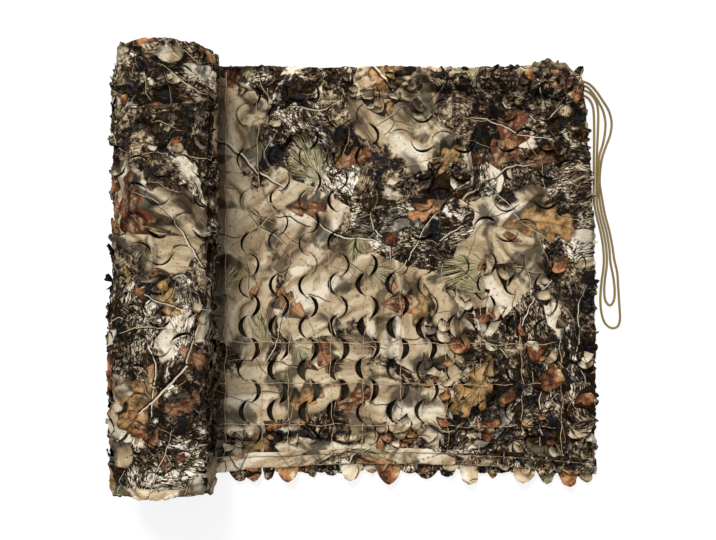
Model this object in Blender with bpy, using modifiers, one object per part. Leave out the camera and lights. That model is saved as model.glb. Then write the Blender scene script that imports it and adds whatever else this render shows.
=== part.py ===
"""Camouflage net, folded in two along its length and rolled up from one end.

The cloth is a thin sheet with leaf-shaped cuts, tied to a net of threads. Beside the
roll its last stretch lies flat in two layers, folded at the back (+Y) and with both
hems at the front (-Y). Two tie cords come out of the folded edge at the free corner
and lie on the ground as hairpins, one inside the other. Metres, +Z up, ground at z = 0.
"""

import math
import random

import bmesh
import bpy
from mathutils import Matrix, Vector, noise

# Driving dimensions.
NET_WIDTH = 1.5  # unfolded; the roll and the loose end show half of it
FOLDED_WIDTH = NET_WIDTH / 2
CLOTH = 0.0015  # one layer of cut cloth with its threads
SEAT_GAP = 0.0003  # between neighbouring solids

# The roll.
ROLL_X = -0.329  # its axis
ROLL_HALF_WIDTH = 0.092
ROLL_HALF_HEIGHT = 0.080
ROLL_PRESSED = 0.002  # how far its own weight flattens it on the ground
ROLL_HALF_LENGTH = FOLDED_WIDTH / 2 + 0.001
ROLL_SIDES = 36
ROLL_STATIONS = 16
ROLL_LUMP = 0.0035  # height and size of the bumps of the outermost turn
ROLL_LUMP_SIZE = 0.055
ROLL_RIDGE = 0.0025  # slack ridges that wind slowly round the roll
ROLL_RIDGES = 3
ROLL_RIDGE_TURN = 4.2  # radians per metre
ROLL_EVEN = (-0.75, 0.5)  # sine where the bumps begin, and over how much they grow
END_LUMP = 0.006  # how unevenly the turns end
END_LUMP_SIZE = 0.05
END_DISH = 0.010  # the middle of each end is drawn in
END_RINGS = (0.06, 0.24, 0.36)  # widths of the rings on an end, as shares of the radius

# The loose end's outline.
UNDER_Z = CLOTH / 2  # middle of the lower layer
UPPER_Z = 0.0085  # middle of the upper layer where it lies flat
FOLD_Y = 0.362  # back edge, where the cloth turns over
FOLD_WAVE = 0.0015
FOLD_WAVE_LENGTH = 0.037
BUNCH = 0.014  # the back edge is pushed out where the cloth is bunched
BUNCH_X = 0.350
BUNCH_REACH = 0.030
UNDER_FRONT_Y = -0.350  # front edge of the lower layer
HEM_Y = -0.3315  # middle of the front hem where it is furthest back
HEM_SAG = 0.0155  # how far the hem bows forwards towards its ends
HEM_SAG_X = 0.06
HEM_SAG_REACH = 0.33
HEM_HALF = 0.0125  # half the hem's width
HEM_THICK = 0.0045  # cloth turned over and sewn
HEM_LIFT = HEM_THICK / 4
SIDE_X = 0.4215  # the free end's edge
SIDE_SLANT = 0.0235  # how far that edge runs in towards the back corner
SIDE_SLANT_Y = -0.05
SIDE_SLANT_REACH = 0.39
SIDE_WAVE = 0.002
SIDE_WAVE_LENGTHS = (0.021, 0.009)

# The upper layer's relief.
SOFT_LUMP = 0.0016
SOFT_LUMP_SIZE = 0.075
ROLL_RISE = 0.016  # how far the upper layer climbs to lean on the roll
ROLL_RISE_X = -0.260
ROLL_RISE_REACH = 0.050
HEM_TROUGH = 0.0035  # the cloth sinks behind the front hem
HEM_TROUGH_HALF = 0.011
FOLD_EASE = 0.018  # the relief fades out over this much before the back edge
# Folds, in mm: middle, reach along and across, height, and turn in degrees.
FOLDS = (
    {"x": 262, "y": 346, "along": 115, "across": 13, "high": 6.0, "turn": 1},
    {"x": 235, "y": 322, "along": 70, "across": 9, "high": -3.5, "turn": 2},
    {"x": 350, "y": 340, "along": 46, "across": 28, "high": 18.0, "turn": -12},
    {"x": 384, "y": 306, "along": 34, "across": 18, "high": 9.0, "turn": 60},
    {"x": 12, "y": 322, "along": 44, "across": 13, "high": 6.0, "turn": 35},
    {"x": 68, "y": 338, "along": 46, "across": 12, "high": 6.5, "turn": 18},
    {"x": 44, "y": 300, "along": 40, "across": 14, "high": 5.0, "turn": 28},
    {"x": 112, "y": 312, "along": 42, "across": 13, "high": 6.0, "turn": -30},
    {"x": 150, "y": 335, "along": 44, "across": 12, "high": 4.5, "turn": 8},
    {"x": -180, "y": 338, "along": 80, "across": 16, "high": 3.5, "turn": -2},
    {"x": -60, "y": -250, "along": 150, "across": 26, "high": 4.5, "turn": 4},
    {"x": 60, "y": -120, "along": 120, "across": 32, "high": 5.0, "turn": -18},
    {"x": -120, "y": -60, "along": 110, "across": 32, "high": 4.0, "turn": 24},
    {"x": 240, "y": 60, "along": 150, "across": 32, "high": 4.0, "turn": 82},
    {"x": 320, "y": -150, "along": 120, "across": 28, "high": 5.5, "turn": 68},
    {"x": 300, "y": -285, "along": 100, "across": 18, "high": 6.0, "turn": -6},
    {"x": 80, "y": 180, "along": 140, "across": 32, "high": 4.0, "turn": -24},
)

# The loose end's mesh.
COLUMNS = 24
COLUMN_CROWD = 0.06  # how much the columns crowd towards the roll and the free edge
UNDER_ROWS = 3
FOLD_ROWS = 4
UPPER_ROWS = 24
ROW_CROWD = 0.09
HEM_ROWS = 3

# Leaf-shaped tongues along the front hem, in mm: middle, width, and how far forward they reach.
TONGUES = (
    {"x": -190, "wide": 38, "reach": 375, "layer": "upper"},
    {"x": -158, "wide": 22, "reach": 374, "layer": "under"},
    {"x": -124, "wide": 36, "reach": 375, "layer": "upper"},
    {"x": -84, "wide": 20, "reach": 369, "layer": "under"},
    {"x": -48, "wide": 34, "reach": 366, "layer": "under"},
    {"x": -11, "wide": 44, "reach": 373, "layer": "upper"},
    {"x": 54, "wide": 44, "reach": 380, "layer": "upper"},
    {"x": 122, "wide": 36, "reach": 372, "layer": "under"},
    {"x": 160, "wide": 34, "reach": 368, "layer": "upper"},
    {"x": 198, "wide": 40, "reach": 380, "layer": "upper"},
    {"x": 240, "wide": 20, "reach": 372, "layer": "under"},
    {"x": 295, "wide": 38, "reach": 377, "layer": "upper"},
    {"x": 336, "wide": 32, "reach": 381, "layer": "under"},
    {"x": 372, "wide": 34, "reach": 384, "layer": "upper"},
    {"x": 405, "wide": 26, "reach": 378, "layer": "under"},
)
TONGUE_CLOTH = 0.0012
TONGUE_STEPS = 5
TONGUE_BLUNT = 0.14  # share of its half width left at a tongue's tip
TONGUE_TIP_Z = 0.0045  # an upper tongue droops to this height
TONGUE_OVERLAP = 0.2 * HEM_HALF  # how far an upper tongue runs back into the hem
UNDER_OVERLAP = 0.006

# Leaf cuts: a lattice of crescents that bulge right and left by turns.
CUT_RADIUS = 0.020
CUT_HALF_ANGLE = math.radians(84)
CUT_PITCH_X = 0.0525
CUT_PITCH_Y = 0.0375
CUT_FIRST = (-0.193, 0.086)
CUT_COLUMNS = 11
CUT_ROWS = 10
CUT_WIDEST = 0.0145
CUT_LEAST = 0.0048  # gaps narrower than this stay closed
CUT_MIDDLE = (-0.02, -0.170)  # where the flaps stand open most
CUT_SPREAD = (0.27, 0.185)
CUT_SHARE = (0.7, 1.15)  # of the gap's usual width there
CUT_JITTER = 0.0022
CUT_ARC_STEPS = 6
CUT_BOW_STEPS = 4
CUT_FROM_Z = 2 * CLOTH
CUT_HIGH = 0.06

# Tie cords: the points of each route, in mm, from the lower exit to the upper one.
CORD_DIAMETER = 0.0045
CORD_STEP = 0.0125
LONG_CORD = (
    (386, 312, 4.2), (400, 311, 4.2), (411, 305, 3.6), (418, 293, 2.6), (420.5, 275, 2.4),
    (421, 240, 2.4), (420.5, 200, 2.4), (420.5, 160, 2.4), (420.5, 125, 2.4), (425, 98, 2.4),
    (432, 70, 2.4), (437, 40, 2.4), (438, 10, 2.4), (434, -22, 2.4), (432, -52, 2.4),
    (434, -76, 2.4), (440, -94, 2.4), (451, -103, 2.4), (462, -101, 2.4), (467, -88, 2.4),
    (466, -64, 2.4), (464, -32, 2.4), (462, -4, 2.4), (457, 18, 2.4), (453.5, 42, 2.4),
    (448, 70, 2.4), (440.5, 98, 2.4), (435.5, 125, 2.4), (431, 155, 2.4), (432, 180, 2.4),
    (436, 203, 2.4), (443, 223, 2.4), (450, 243, 2.4), (452, 264, 2.4), (447, 284, 2.4),
    (436, 302, 2.8), (424, 319, 3.6), (412, 331, 4.2), (399, 336, 4.2), (384, 338, 4.2),
)
SHORT_CORD = (
    (384, 320, 4.2), (401, 320, 4.2), (414, 314, 3.6), (424, 301, 2.6), (428, 283, 2.4),
    (428, 255, 2.4), (426.5, 220, 2.4), (425.5, 185, 2.4), (425.5, 155, 2.4),
    (425.5, 125, 2.4), (430, 98, 2.4), (437.2, 70, 2.4), (442.4, 40, 2.4), (443.5, 10, 2.4),
    (440.5, -14, 2.4), (439, -36, 2.4), (441, -54, 2.4), (449, -63, 2.4), (456, -54, 2.4),
    (457.5, -36, 2.4), (455, -12, 2.4), (450, 14, 2.4), (447.8, 40, 2.4), (442.6, 70, 2.4),
    (435.2, 98, 2.4), (430.4, 125, 2.9), (427.6, 142, 6.6), (427.6, 162, 6.9),
    (428.5, 180, 6.6), (430, 203, 2.9), (436, 223, 2.4), (440, 243, 2.4), (441, 264, 2.4),
    (437, 283, 2.4), (429, 299, 2.8), (419, 314, 3.6), (409, 325, 4.2), (398, 329, 4.2),
    (384, 331, 4.2),
)
CURVE_STEPS = 12  # fine steps between two points of a route

# Linear colour, roughness.
ROLL_FINISH = ((0.17, 0.13, 0.09), 0.88)
LOOSE_END_FINISH = ((0.23, 0.17, 0.11), 0.85)
LONG_CORD_FINISH = ((0.36, 0.26, 0.12), 0.75)
SHORT_CORD_FINISH = ((0.33, 0.24, 0.11), 0.75)
SHARP = math.radians(50)

# Where each noise field is read.
ROLL_SEED = 3.1
END_SEED = 9.4
CLOTH_SEED = 5.2
CUT_SEED = 11


def material(name, finish):
    """A plain Principled finish from a linear colour and a roughness."""
    colour, roughness = finish
    made = bpy.data.materials.new(name)
    made.use_nodes = True
    shader = made.node_tree.nodes["Principled BSDF"]
    shader.inputs["Base Color"].default_value = (*colour, 1.0)
    shader.inputs["Roughness"].default_value = roughness
    shader.inputs["Metallic"].default_value = 0.0
    return made


def object_from(bm, name, collection, finish=None):
    """Makes a mesh object of a bmesh, smooth but for its sharp rims."""
    mesh = bpy.data.meshes.new(name)
    bm.to_mesh(mesh)
    bm.free()
    mesh.shade_smooth()
    mesh.set_sharp_from_angle(angle=SHARP)
    if finish is not None:
        mesh.materials.append(material(name, finish))
    made = bpy.data.objects.new(name, mesh)
    collection.objects.link(made)
    return made


def helper(made):
    """Marks a cutter, or a piece that a Boolean joins to another."""
    made.hide_render = True
    made.display_type = "WIRE"
    return made


def solidify(made, thickness):
    shell = made.modifiers.new("cloth", "SOLIDIFY")
    shell.thickness = thickness
    shell.offset = 0.0
    return shell


def boolean(made, operation, other):
    modifier = made.modifiers.new(other.name, "BOOLEAN")
    modifier.operation = operation
    modifier.object = other


def lump(x, y, z, size, seed):
    """Smooth unevenness between -1 and 1, with bumps of about that size."""
    return noise.noise(Vector((x / size + seed, y / size, z / size)))


def crowded(share, crowd):
    """Moves even shares from 0 to 1 closer together near both ends."""
    return share - crowd * math.sin(2 * math.pi * share)


def roll_radii(angle, y):
    """The outermost turn at an angle about the roll's axis, as its half width and height."""
    start, reach = ROLL_EVEN
    grown = min(1.0, max(0.0, (math.sin(angle) - start) / reach))
    across, up = ROLL_HALF_WIDTH * math.cos(angle), ROLL_HALF_WIDTH * math.sin(angle)
    bump = ROLL_LUMP * lump(across, y, up, ROLL_LUMP_SIZE, ROLL_SEED)
    bump += ROLL_RIDGE * math.sin(ROLL_RIDGES * angle + ROLL_RIDGE_TURN * y)
    return ROLL_HALF_WIDTH + grown * bump, ROLL_HALF_HEIGHT + grown * bump


def roll_side(z, y):
    """X of the roll's right flank at a small height above the ground."""
    above_axis = z - ROLL_HALF_HEIGHT + ROLL_PRESSED
    half_width, half_height = roll_radii(math.asin(above_axis / ROLL_HALF_HEIGHT), y)
    return ROLL_X + half_width * math.sqrt(1 - (above_axis / half_height) ** 2)


def build_roll(collection):
    """The wound net: an uneven cylinder on its flattened side, with dished ends."""
    bm = bmesh.new()
    bmesh.ops.create_cone(
        bm, cap_ends=True, segments=ROLL_SIDES, radius1=1.0, radius2=1.0, depth=2.0,
        matrix=Matrix.Rotation(math.pi / 2, 4, "X"),
    )
    ends = [face for face in bm.faces if len(face.verts) == ROLL_SIDES]
    for width in END_RINGS:
        bmesh.ops.inset_region(bm, faces=ends, thickness=width)
    for i in range(1, ROLL_STATIONS):
        bmesh.ops.bisect_plane(
            bm, geom=bm.verts[:] + bm.edges[:] + bm.faces[:],
            plane_co=(0, 2 * i / ROLL_STATIONS - 1, 0), plane_no=(0, 1, 0),
        )
    for vert in bm.verts:
        angle = math.atan2(vert.co.z, vert.co.x)
        share = vert.co.y
        inwards = 1 - min(1.0, math.hypot(vert.co.x, vert.co.z))
        ragged = END_LUMP * lump(
            ROLL_HALF_WIDTH * math.cos(angle), share, ROLL_HALF_WIDTH * math.sin(angle),
            END_LUMP_SIZE, END_SEED)
        reach = ROLL_HALF_LENGTH + (1 - inwards) ** 2 * abs(share) ** 8 * ragged
        reach -= END_DISH * inwards
        half_width, half_height = roll_radii(angle, share * ROLL_HALF_LENGTH)
        vert.co.x = ROLL_X + half_width * vert.co.x
        vert.co.y = share * reach
        vert.co.z = max(0.0, ROLL_HALF_HEIGHT - ROLL_PRESSED + half_height * vert.co.z)
    return object_from(bm, "net_roll", collection, ROLL_FINISH)


def hem_y(x):
    """The middle of the front hem."""
    return HEM_Y - HEM_SAG * ((x - HEM_SAG_X) / HEM_SAG_REACH) ** 2


def side_x(y):
    """The free end's edge."""
    slant = max(0.0, y - SIDE_SLANT_Y) / SIDE_SLANT_REACH
    long, short = SIDE_WAVE_LENGTHS
    return SIDE_X - SIDE_SLANT * slant * slant + SIDE_WAVE * math.sin(y / long) * math.cos(y / short)


def fold_y(x):
    """The folded back edge, pushed out where the cloth is bunched at the corner."""
    bunch = BUNCH * math.exp(-(((x - BUNCH_X) / BUNCH_REACH) ** 2))
    return FOLD_Y + bunch + FOLD_WAVE * math.sin(x / FOLD_WAVE_LENGTH)


def relief(x, y):
    """How far the upper layer stands above its lying height."""
    high = SOFT_LUMP * lump(x, y, 0.0, SOFT_LUMP_SIZE, CLOTH_SEED)
    for fold in FOLDS:
        turn = math.radians(fold["turn"])
        dx, dy = 1000 * x - fold["x"], 1000 * y - fold["y"]
        along = (dx * math.cos(turn) + dy * math.sin(turn)) / fold["along"]
        across = (dy * math.cos(turn) - dx * math.sin(turn)) / fold["across"]
        high += fold["high"] / 1000 * math.exp(-along * along - across * across)
    behind = (y - hem_y(x) - HEM_HALF) / HEM_TROUGH_HALF - 1
    high -= HEM_TROUGH * math.exp(-behind * behind)
    near = min(1.0, max(0.0, 1 - (x - ROLL_RISE_X) / ROLL_RISE_REACH))
    return high + ROLL_RISE * near * near


def section_rows():
    """Rows of the folded section as (layer, share along it), front to back to front."""
    rows = [("under", i / UNDER_ROWS) for i in range(UNDER_ROWS)]
    rows += [("fold", i / FOLD_ROWS) for i in range(FOLD_ROWS)]
    rows += [("upper", crowded(i / UPPER_ROWS, ROW_CROWD)) for i in range(UPPER_ROWS)]
    rows += [("hem", i / HEM_ROWS) for i in range(HEM_ROWS + 1)]
    return rows


def section_point(x, row):
    """Where a row of the folded section lies at x before the relief, as (y, z)."""
    layer, share = row
    radius = (UPPER_Z - UNDER_Z) / 2
    turn_y = fold_y(x) - radius
    hem_back = hem_y(x) + HEM_HALF
    if layer == "under":
        return UNDER_FRONT_Y + (turn_y - UNDER_FRONT_Y) * share, UNDER_Z
    if layer == "fold":
        angle = math.pi * share
        return turn_y + radius * math.sin(angle), UNDER_Z + radius * (1 - math.cos(angle))
    if layer == "upper":
        return turn_y + (hem_back - turn_y) * share, UPPER_Z
    return hem_back - 2 * HEM_HALF * share, UPPER_Z + HEM_LIFT


def eased_relief(x, y):
    """The relief, which fades out towards the back edge."""
    return relief(x, y) * min(1.0, (fold_y(x) - y) / FOLD_EASE)


def cloth_point(across, row):
    """A point of the middle surface, across it from the roll at 0 to the free edge at 1."""
    y, z = section_point(ROLL_X + (SIDE_X - ROLL_X) * across, row)
    is_upper = row[0] in ("upper", "hem")
    edge_z = z + eased_relief(ROLL_RISE_X, y) if is_upper else z
    half = (HEM_THICK if row[0] == "hem" else CLOTH) / 2
    left = roll_side(edge_z + half + SEAT_GAP, y) + SEAT_GAP / 2
    x = left + (side_x(y) - left) * across
    return Vector((x, y, z + eased_relief(x, y) if is_upper else z))


def build_loose_end(collection, cutters):
    """Both layers of the unrolled stretch as one folded sheet, its leaf cuts open."""
    rows = section_rows()
    bm = bmesh.new()
    bmesh.ops.create_grid(bm, x_segments=COLUMNS, y_segments=len(rows) - 1, size=0.5)
    inner_hem = []
    for vert in bm.verts:
        row = rows[round((vert.co.y + 0.5) * (len(rows) - 1))]
        vert.co = cloth_point(crowded(vert.co.x + 0.5, COLUMN_CROWD), row)
        if row[0] == "hem" and 0 < row[1] < 1:
            inner_hem.append(vert.index)
    bmesh.ops.recalc_face_normals(bm, faces=bm.faces[:])
    made = object_from(bm, "net_loose_end", collection, LOOSE_END_FINISH)
    made.vertex_groups.new(name="hem").add(inner_hem, 1.0, "REPLACE")
    shell = solidify(made, HEM_THICK)
    shell.vertex_group = "hem"
    shell.thickness_vertex_group = CLOTH / HEM_THICK
    boolean(made, "DIFFERENCE", build_leaf_cuts(cutters))
    boolean(made, "UNION", build_tongues(cutters))


def leaf_cuts():
    """Each open leaf cut: its middle, which way it bulges (1 right, -1 left) and its gap."""
    chance = random.Random(CUT_SEED)
    for row in range(CUT_ROWS):
        for column in range(CUT_COLUMNS):
            x = CUT_FIRST[0] + CUT_PITCH_X * column + chance.uniform(-1, 1) * CUT_JITTER
            y = CUT_FIRST[1] - CUT_PITCH_Y * row + chance.uniform(-1, 1) * CUT_JITTER
            off = ((x - CUT_MIDDLE[0]) / CUT_SPREAD[0]) ** 2
            off += ((y - CUT_MIDDLE[1]) / CUT_SPREAD[1]) ** 2
            gap = CUT_WIDEST * math.exp(-off) * chance.uniform(*CUT_SHARE)
            if gap >= CUT_LEAST:
                yield x, y, (-1 if row % 2 else 1), gap


def crescent(gap):
    """Outline of the gap that a flap leaves inside its round cut, bulging right."""
    chord = CUT_RADIUS * math.cos(CUT_HALF_ANGLE)
    half = CUT_RADIUS * math.sin(CUT_HALF_ANGLE)
    outline = []
    for i in range(CUT_ARC_STEPS + 1):
        angle = CUT_HALF_ANGLE * (2 * i / CUT_ARC_STEPS - 1)
        outline.append((CUT_RADIUS * math.cos(angle), CUT_RADIUS * math.sin(angle)))
    for i in range(1, CUT_BOW_STEPS):
        share = 1 - 2 * i / CUT_BOW_STEPS
        bow = (CUT_RADIUS - chord - gap) * (1 - share * share)
        outline.append((chord + bow, half * share))
    return outline


def build_leaf_cuts(cutters):
    """Crescent prisms that pass through the upper layer alone."""
    bm = bmesh.new()
    for x, y, bulge, gap in leaf_cuts():
        verts = [bm.verts.new((x + bulge * px, y + bulge * py, CUT_FROM_Z))
                 for px, py in crescent(gap)]
        raised = bmesh.ops.extrude_face_region(bm, geom=[bm.faces.new(verts)])["geom"]
        top = [part for part in raised if isinstance(part, bmesh.types.BMVert)]
        bmesh.ops.translate(bm, verts=top, vec=(0, 0, CUT_HIGH))
    bmesh.ops.recalc_face_normals(bm, faces=bm.faces[:])
    return helper(object_from(bm, "cutter_leaf_cuts", cutters))


def tongue_point(tongue, across, along):
    """A point of a tongue's middle surface, across it from -1 to 1 and along it from 0 to 1."""
    narrowed = math.sqrt(1 + TONGUE_BLUNT * TONGUE_BLUNT - along * along)
    x = (tongue["x"] + tongue["wide"] / 2 * across * narrowed) / 1000
    if tongue["layer"] == "upper":
        root_y = hem_y(x) + TONGUE_OVERLAP
        root_z, tip_z = UPPER_Z + HEM_LIFT + relief(x, root_y), TONGUE_TIP_Z
    else:
        root_y = UNDER_FRONT_Y + UNDER_OVERLAP
        root_z = tip_z = UNDER_Z
    y = root_y + (-tongue["reach"] / 1000 - root_y) * along
    return Vector((x, y, root_z + (tip_z - root_z) * along))


def build_tongues(cutters):
    """The leaf-shaped tongues in front of the hem, joined to their layer."""
    bm = bmesh.new()
    for tongue in TONGUES:
        grid = bmesh.ops.create_grid(
            bm, x_segments=TONGUE_STEPS, y_segments=TONGUE_STEPS, size=1.0)
        for vert in grid["verts"]:
            vert.co = tongue_point(tongue, vert.co.x, (1 - vert.co.y) / 2)
    made = helper(object_from(bm, "joined_tongues", cutters))
    solidify(made, TONGUE_CLOTH)
    return made


def smooth_curve(points):
    """Close points on a Catmull-Rom curve through a route's own points, in metres."""
    own = [Vector(p) / 1000 for p in points]
    own = [2 * own[0] - own[1], *own, 2 * own[-1] - own[-2]]
    fine = []
    for a, b, c, d in zip(own, own[1:], own[2:], own[3:]):
        for i in range(CURVE_STEPS):
            t = i / CURVE_STEPS
            bend = (2 * a - 5 * b + 4 * c - d) * t * t + (3 * b - a - 3 * c + d) * t ** 3
            fine.append(b + ((c - a) * t + bend) / 2)
    fine.append(own[-2])
    return fine


def route(points, step):
    """Points about step apart along the smooth curve."""
    fine = smooth_curve(points)
    lengths = [0.0]
    for a, b in zip(fine, fine[1:]):
        lengths.append(lengths[-1] + (b - a).length)
    count = round(lengths[-1] / step)
    even, j = [], 0
    for i in range(count + 1):
        at = lengths[-1] * i / count
        while j < len(fine) - 2 and lengths[j + 1] < at:
            j += 1
        share = (at - lengths[j]) / (lengths[j + 1] - lengths[j])
        even.append(fine[j].lerp(fine[j + 1], min(1.0, share)))
    return even


def build_cord(name, points, collection, finish):
    """A tie cord that lies on the ground, with both its ends inside the folded edge."""
    even = route(points, CORD_STEP)
    curve = bpy.data.curves.new(name, "CURVE")
    curve.dimensions = "3D"
    curve.bevel_depth = CORD_DIAMETER / 2
    curve.bevel_resolution = 2
    curve.use_fill_caps = True
    spline = curve.splines.new("POLY")
    spline.points.add(len(even) - 1)
    for point, place in zip(spline.points, even):
        point.co = (*place, 1.0)
    curve.materials.append(material(name, finish))
    collection.objects.link(bpy.data.objects.new(name, curve))


def main():
    for old in list(bpy.data.objects):
        bpy.data.objects.remove(old, do_unlink=True)
    net = bpy.data.collections.new("camouflage_net")
    cutters = bpy.data.collections.new("cutters")
    for made in (net, cutters):
        bpy.context.scene.collection.children.link(made)
    build_roll(net)
    build_loose_end(net, cutters)
    build_cord("tie_cord_long", LONG_CORD, net, LONG_CORD_FINISH)
    build_cord("tie_cord_short", SHORT_CORD, net, SHORT_CORD_FINISH)


main()
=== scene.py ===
"""Looks of the camouflage net, in metres in the part's own frame.

Its printed, slit and crumpled cloth, the threads that carry it, its hems and its braided tie cords.
"""

import math
import random
from collections import namedtuple

import bmesh
import bpy
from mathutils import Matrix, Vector, kdtree, noise
from mathutils.geometry import delaunay_2d_cdt


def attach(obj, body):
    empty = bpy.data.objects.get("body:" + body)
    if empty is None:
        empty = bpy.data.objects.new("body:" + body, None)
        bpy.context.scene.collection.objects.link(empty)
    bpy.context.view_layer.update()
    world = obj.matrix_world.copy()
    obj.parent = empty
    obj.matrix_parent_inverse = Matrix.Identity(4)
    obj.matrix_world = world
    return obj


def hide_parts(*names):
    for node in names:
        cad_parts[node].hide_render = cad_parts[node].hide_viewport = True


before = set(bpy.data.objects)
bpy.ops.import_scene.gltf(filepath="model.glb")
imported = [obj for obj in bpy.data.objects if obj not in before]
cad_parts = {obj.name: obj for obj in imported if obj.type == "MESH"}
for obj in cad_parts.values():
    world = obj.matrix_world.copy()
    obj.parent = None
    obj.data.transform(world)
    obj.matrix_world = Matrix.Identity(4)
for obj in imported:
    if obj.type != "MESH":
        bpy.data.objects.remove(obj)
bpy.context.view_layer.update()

# The roll, in the frame's metres.
ROLL_X = -0.329
ROLL_HALF_WIDTH = 0.092
ROLL_HALF_HEIGHT = 0.080
ROLL_PRESSED = 0.002
ROLL_HALF_LENGTH = 0.376
ROLL_LUMP = 0.0035
ROLL_LUMP_SIZE = 0.055
ROLL_RIDGE = 0.0025
ROLL_RIDGES = 3
ROLL_RIDGE_TURN = 4.2
ROLL_EVEN = (-0.75, 0.5)
ROLL_SEED = 3.1

# The loose end's outline and layers.
UNDER_Z = 0.00075
UPPER_Z = 0.0085
FOLD_Y = 0.362
FOLD_WAVE = 0.0015
FOLD_WAVE_LENGTH = 0.037
BUNCH = 0.014
BUNCH_X = 0.350
BUNCH_REACH = 0.030
UNDER_FRONT_Y = -0.350
HEM_Y = -0.3315
HEM_SAG = 0.0155
HEM_SAG_X = 0.06
HEM_SAG_REACH = 0.33
HEM_HALF = 0.0125
SIDE_X = 0.4215
SIDE_SLANT = 0.0235
SIDE_SLANT_Y = -0.05
SIDE_SLANT_REACH = 0.39
SIDE_WAVE = 0.002
SIDE_WAVE_LENGTHS = (0.021, 0.009)

# The upper layer's relief.
SOFT_LUMP = 0.0016
SOFT_LUMP_SIZE = 0.075
ROLL_RISE = 0.016
ROLL_RISE_X = -0.260
ROLL_RISE_REACH = 0.050
HEM_TROUGH = 0.0035
HEM_TROUGH_HALF = 0.011
FOLD_EASE = 0.018
CLOTH_SEED = 5.2
# Folds: middle, reach along and across, and height in mm, and turn in degrees.
Fold = namedtuple("Fold", "x y along across high turn")
FOLDS = [Fold(*row) for row in (
    (262, 346, 115, 13, 6.0, 1), (235, 322, 70, 9, -3.5, 2), (350, 340, 46, 28, 18.0, -12),
    (384, 306, 34, 18, 9.0, 60), (12, 322, 44, 13, 6.0, 35), (68, 338, 46, 12, 6.5, 18),
    (44, 300, 40, 14, 5.0, 28), (112, 312, 42, 13, 6.0, -30), (150, 335, 44, 12, 4.5, 8),
    (-180, 338, 80, 16, 3.5, -2), (-60, -250, 150, 26, 4.5, 4), (60, -120, 120, 32, 5.0, -18),
    (-120, -60, 110, 32, 4.0, 24), (240, 60, 150, 32, 4.0, 82), (320, -150, 120, 28, 5.5, 68),
    (300, -285, 100, 18, 6.0, -6), (80, 180, 140, 32, 4.0, -24),
)]

# Leaf-shaped tongues along the front hem: middle, width and how far forward they reach in mm, the
# layer they grow from, and 1 for an autumn print.
Tongue = namedtuple("Tongue", "x wide reach layer finish", defaults=(0,))
UPPER, UNDER = "upper", "under"
TONGUES_FROM_X, TONGUES_TO_X = -214, 410
AUTUMN_SHARE = 0.12  # of the shallower tongues between them
TONGUES = [Tongue(*row) for row in (
    (-190, 38, 375, UPPER), (-158, 22, 374, UNDER), (-124, 36, 375, UPPER, 1), (-84, 20, 369, UNDER),
    (-48, 34, 366, UNDER), (-11, 44, 373, UPPER), (54, 44, 380, UPPER, 1), (122, 36, 372, UNDER),
    (160, 34, 368, UPPER), (198, 40, 380, UPPER), (240, 20, 372, UNDER, 1), (295, 38, 377, UPPER),
    (336, 32, 381, UNDER), (372, 34, 384, UPPER, 1), (405, 26, 378, UNDER),
)]

# Leaf cuts: a lattice of arcs that bulge right and left by turns.
CUT_RADIUS = 0.020
CUT_PITCH_X = 0.0525
CUT_PITCH_Y = 0.0375
CUT_FIRST = (-0.193, 0.086)
CUT_COLUMNS = 11
CUT_ROWS = 10
CUT_WIDEST = 0.0145
CUT_LEAST = 0.0048
CUT_MIDDLE = (-0.02, -0.170)
CUT_SPREAD = (0.27, 0.185)
CUT_SHARE = (0.7, 1.15)
CUT_JITTER = 0.0022
CUT_SEED = 11
CUT_CLEAR = 0.030  # from the middle of one to the next
SLIT_SEED = 5
OPEN_HALF_ANGLE = math.radians(84)
SLIT_HALF_ANGLE = math.radians(97)
SLIT_JITTER = 0.0035
SLIT_GAPS = (0.0018, 0.0025, 0.0033, 0.0046)
WIDE_SHARES = (0.5, 0.75, 0.95, 1.05)  # of its full width that a wide cut is open
# The lattice's further rows of slits behind and before the wide cuts, and how far cuts keep from the edges.
MORE_BACK, MORE_FRONT = 7, 2
CUT_FROM_HEM, CUT_FROM_FOLD, CUT_FROM_SIDE = 0.024, 0.028, 0.026
# The lattice of the far right, whose slits run the other way.
TURNED_FIRST = (0.075, 0.335)
TURNED_COLUMNS, TURNED_ROWS = 12, 8
TURNED_SHARE = 0.66  # of its places that have one

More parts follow.
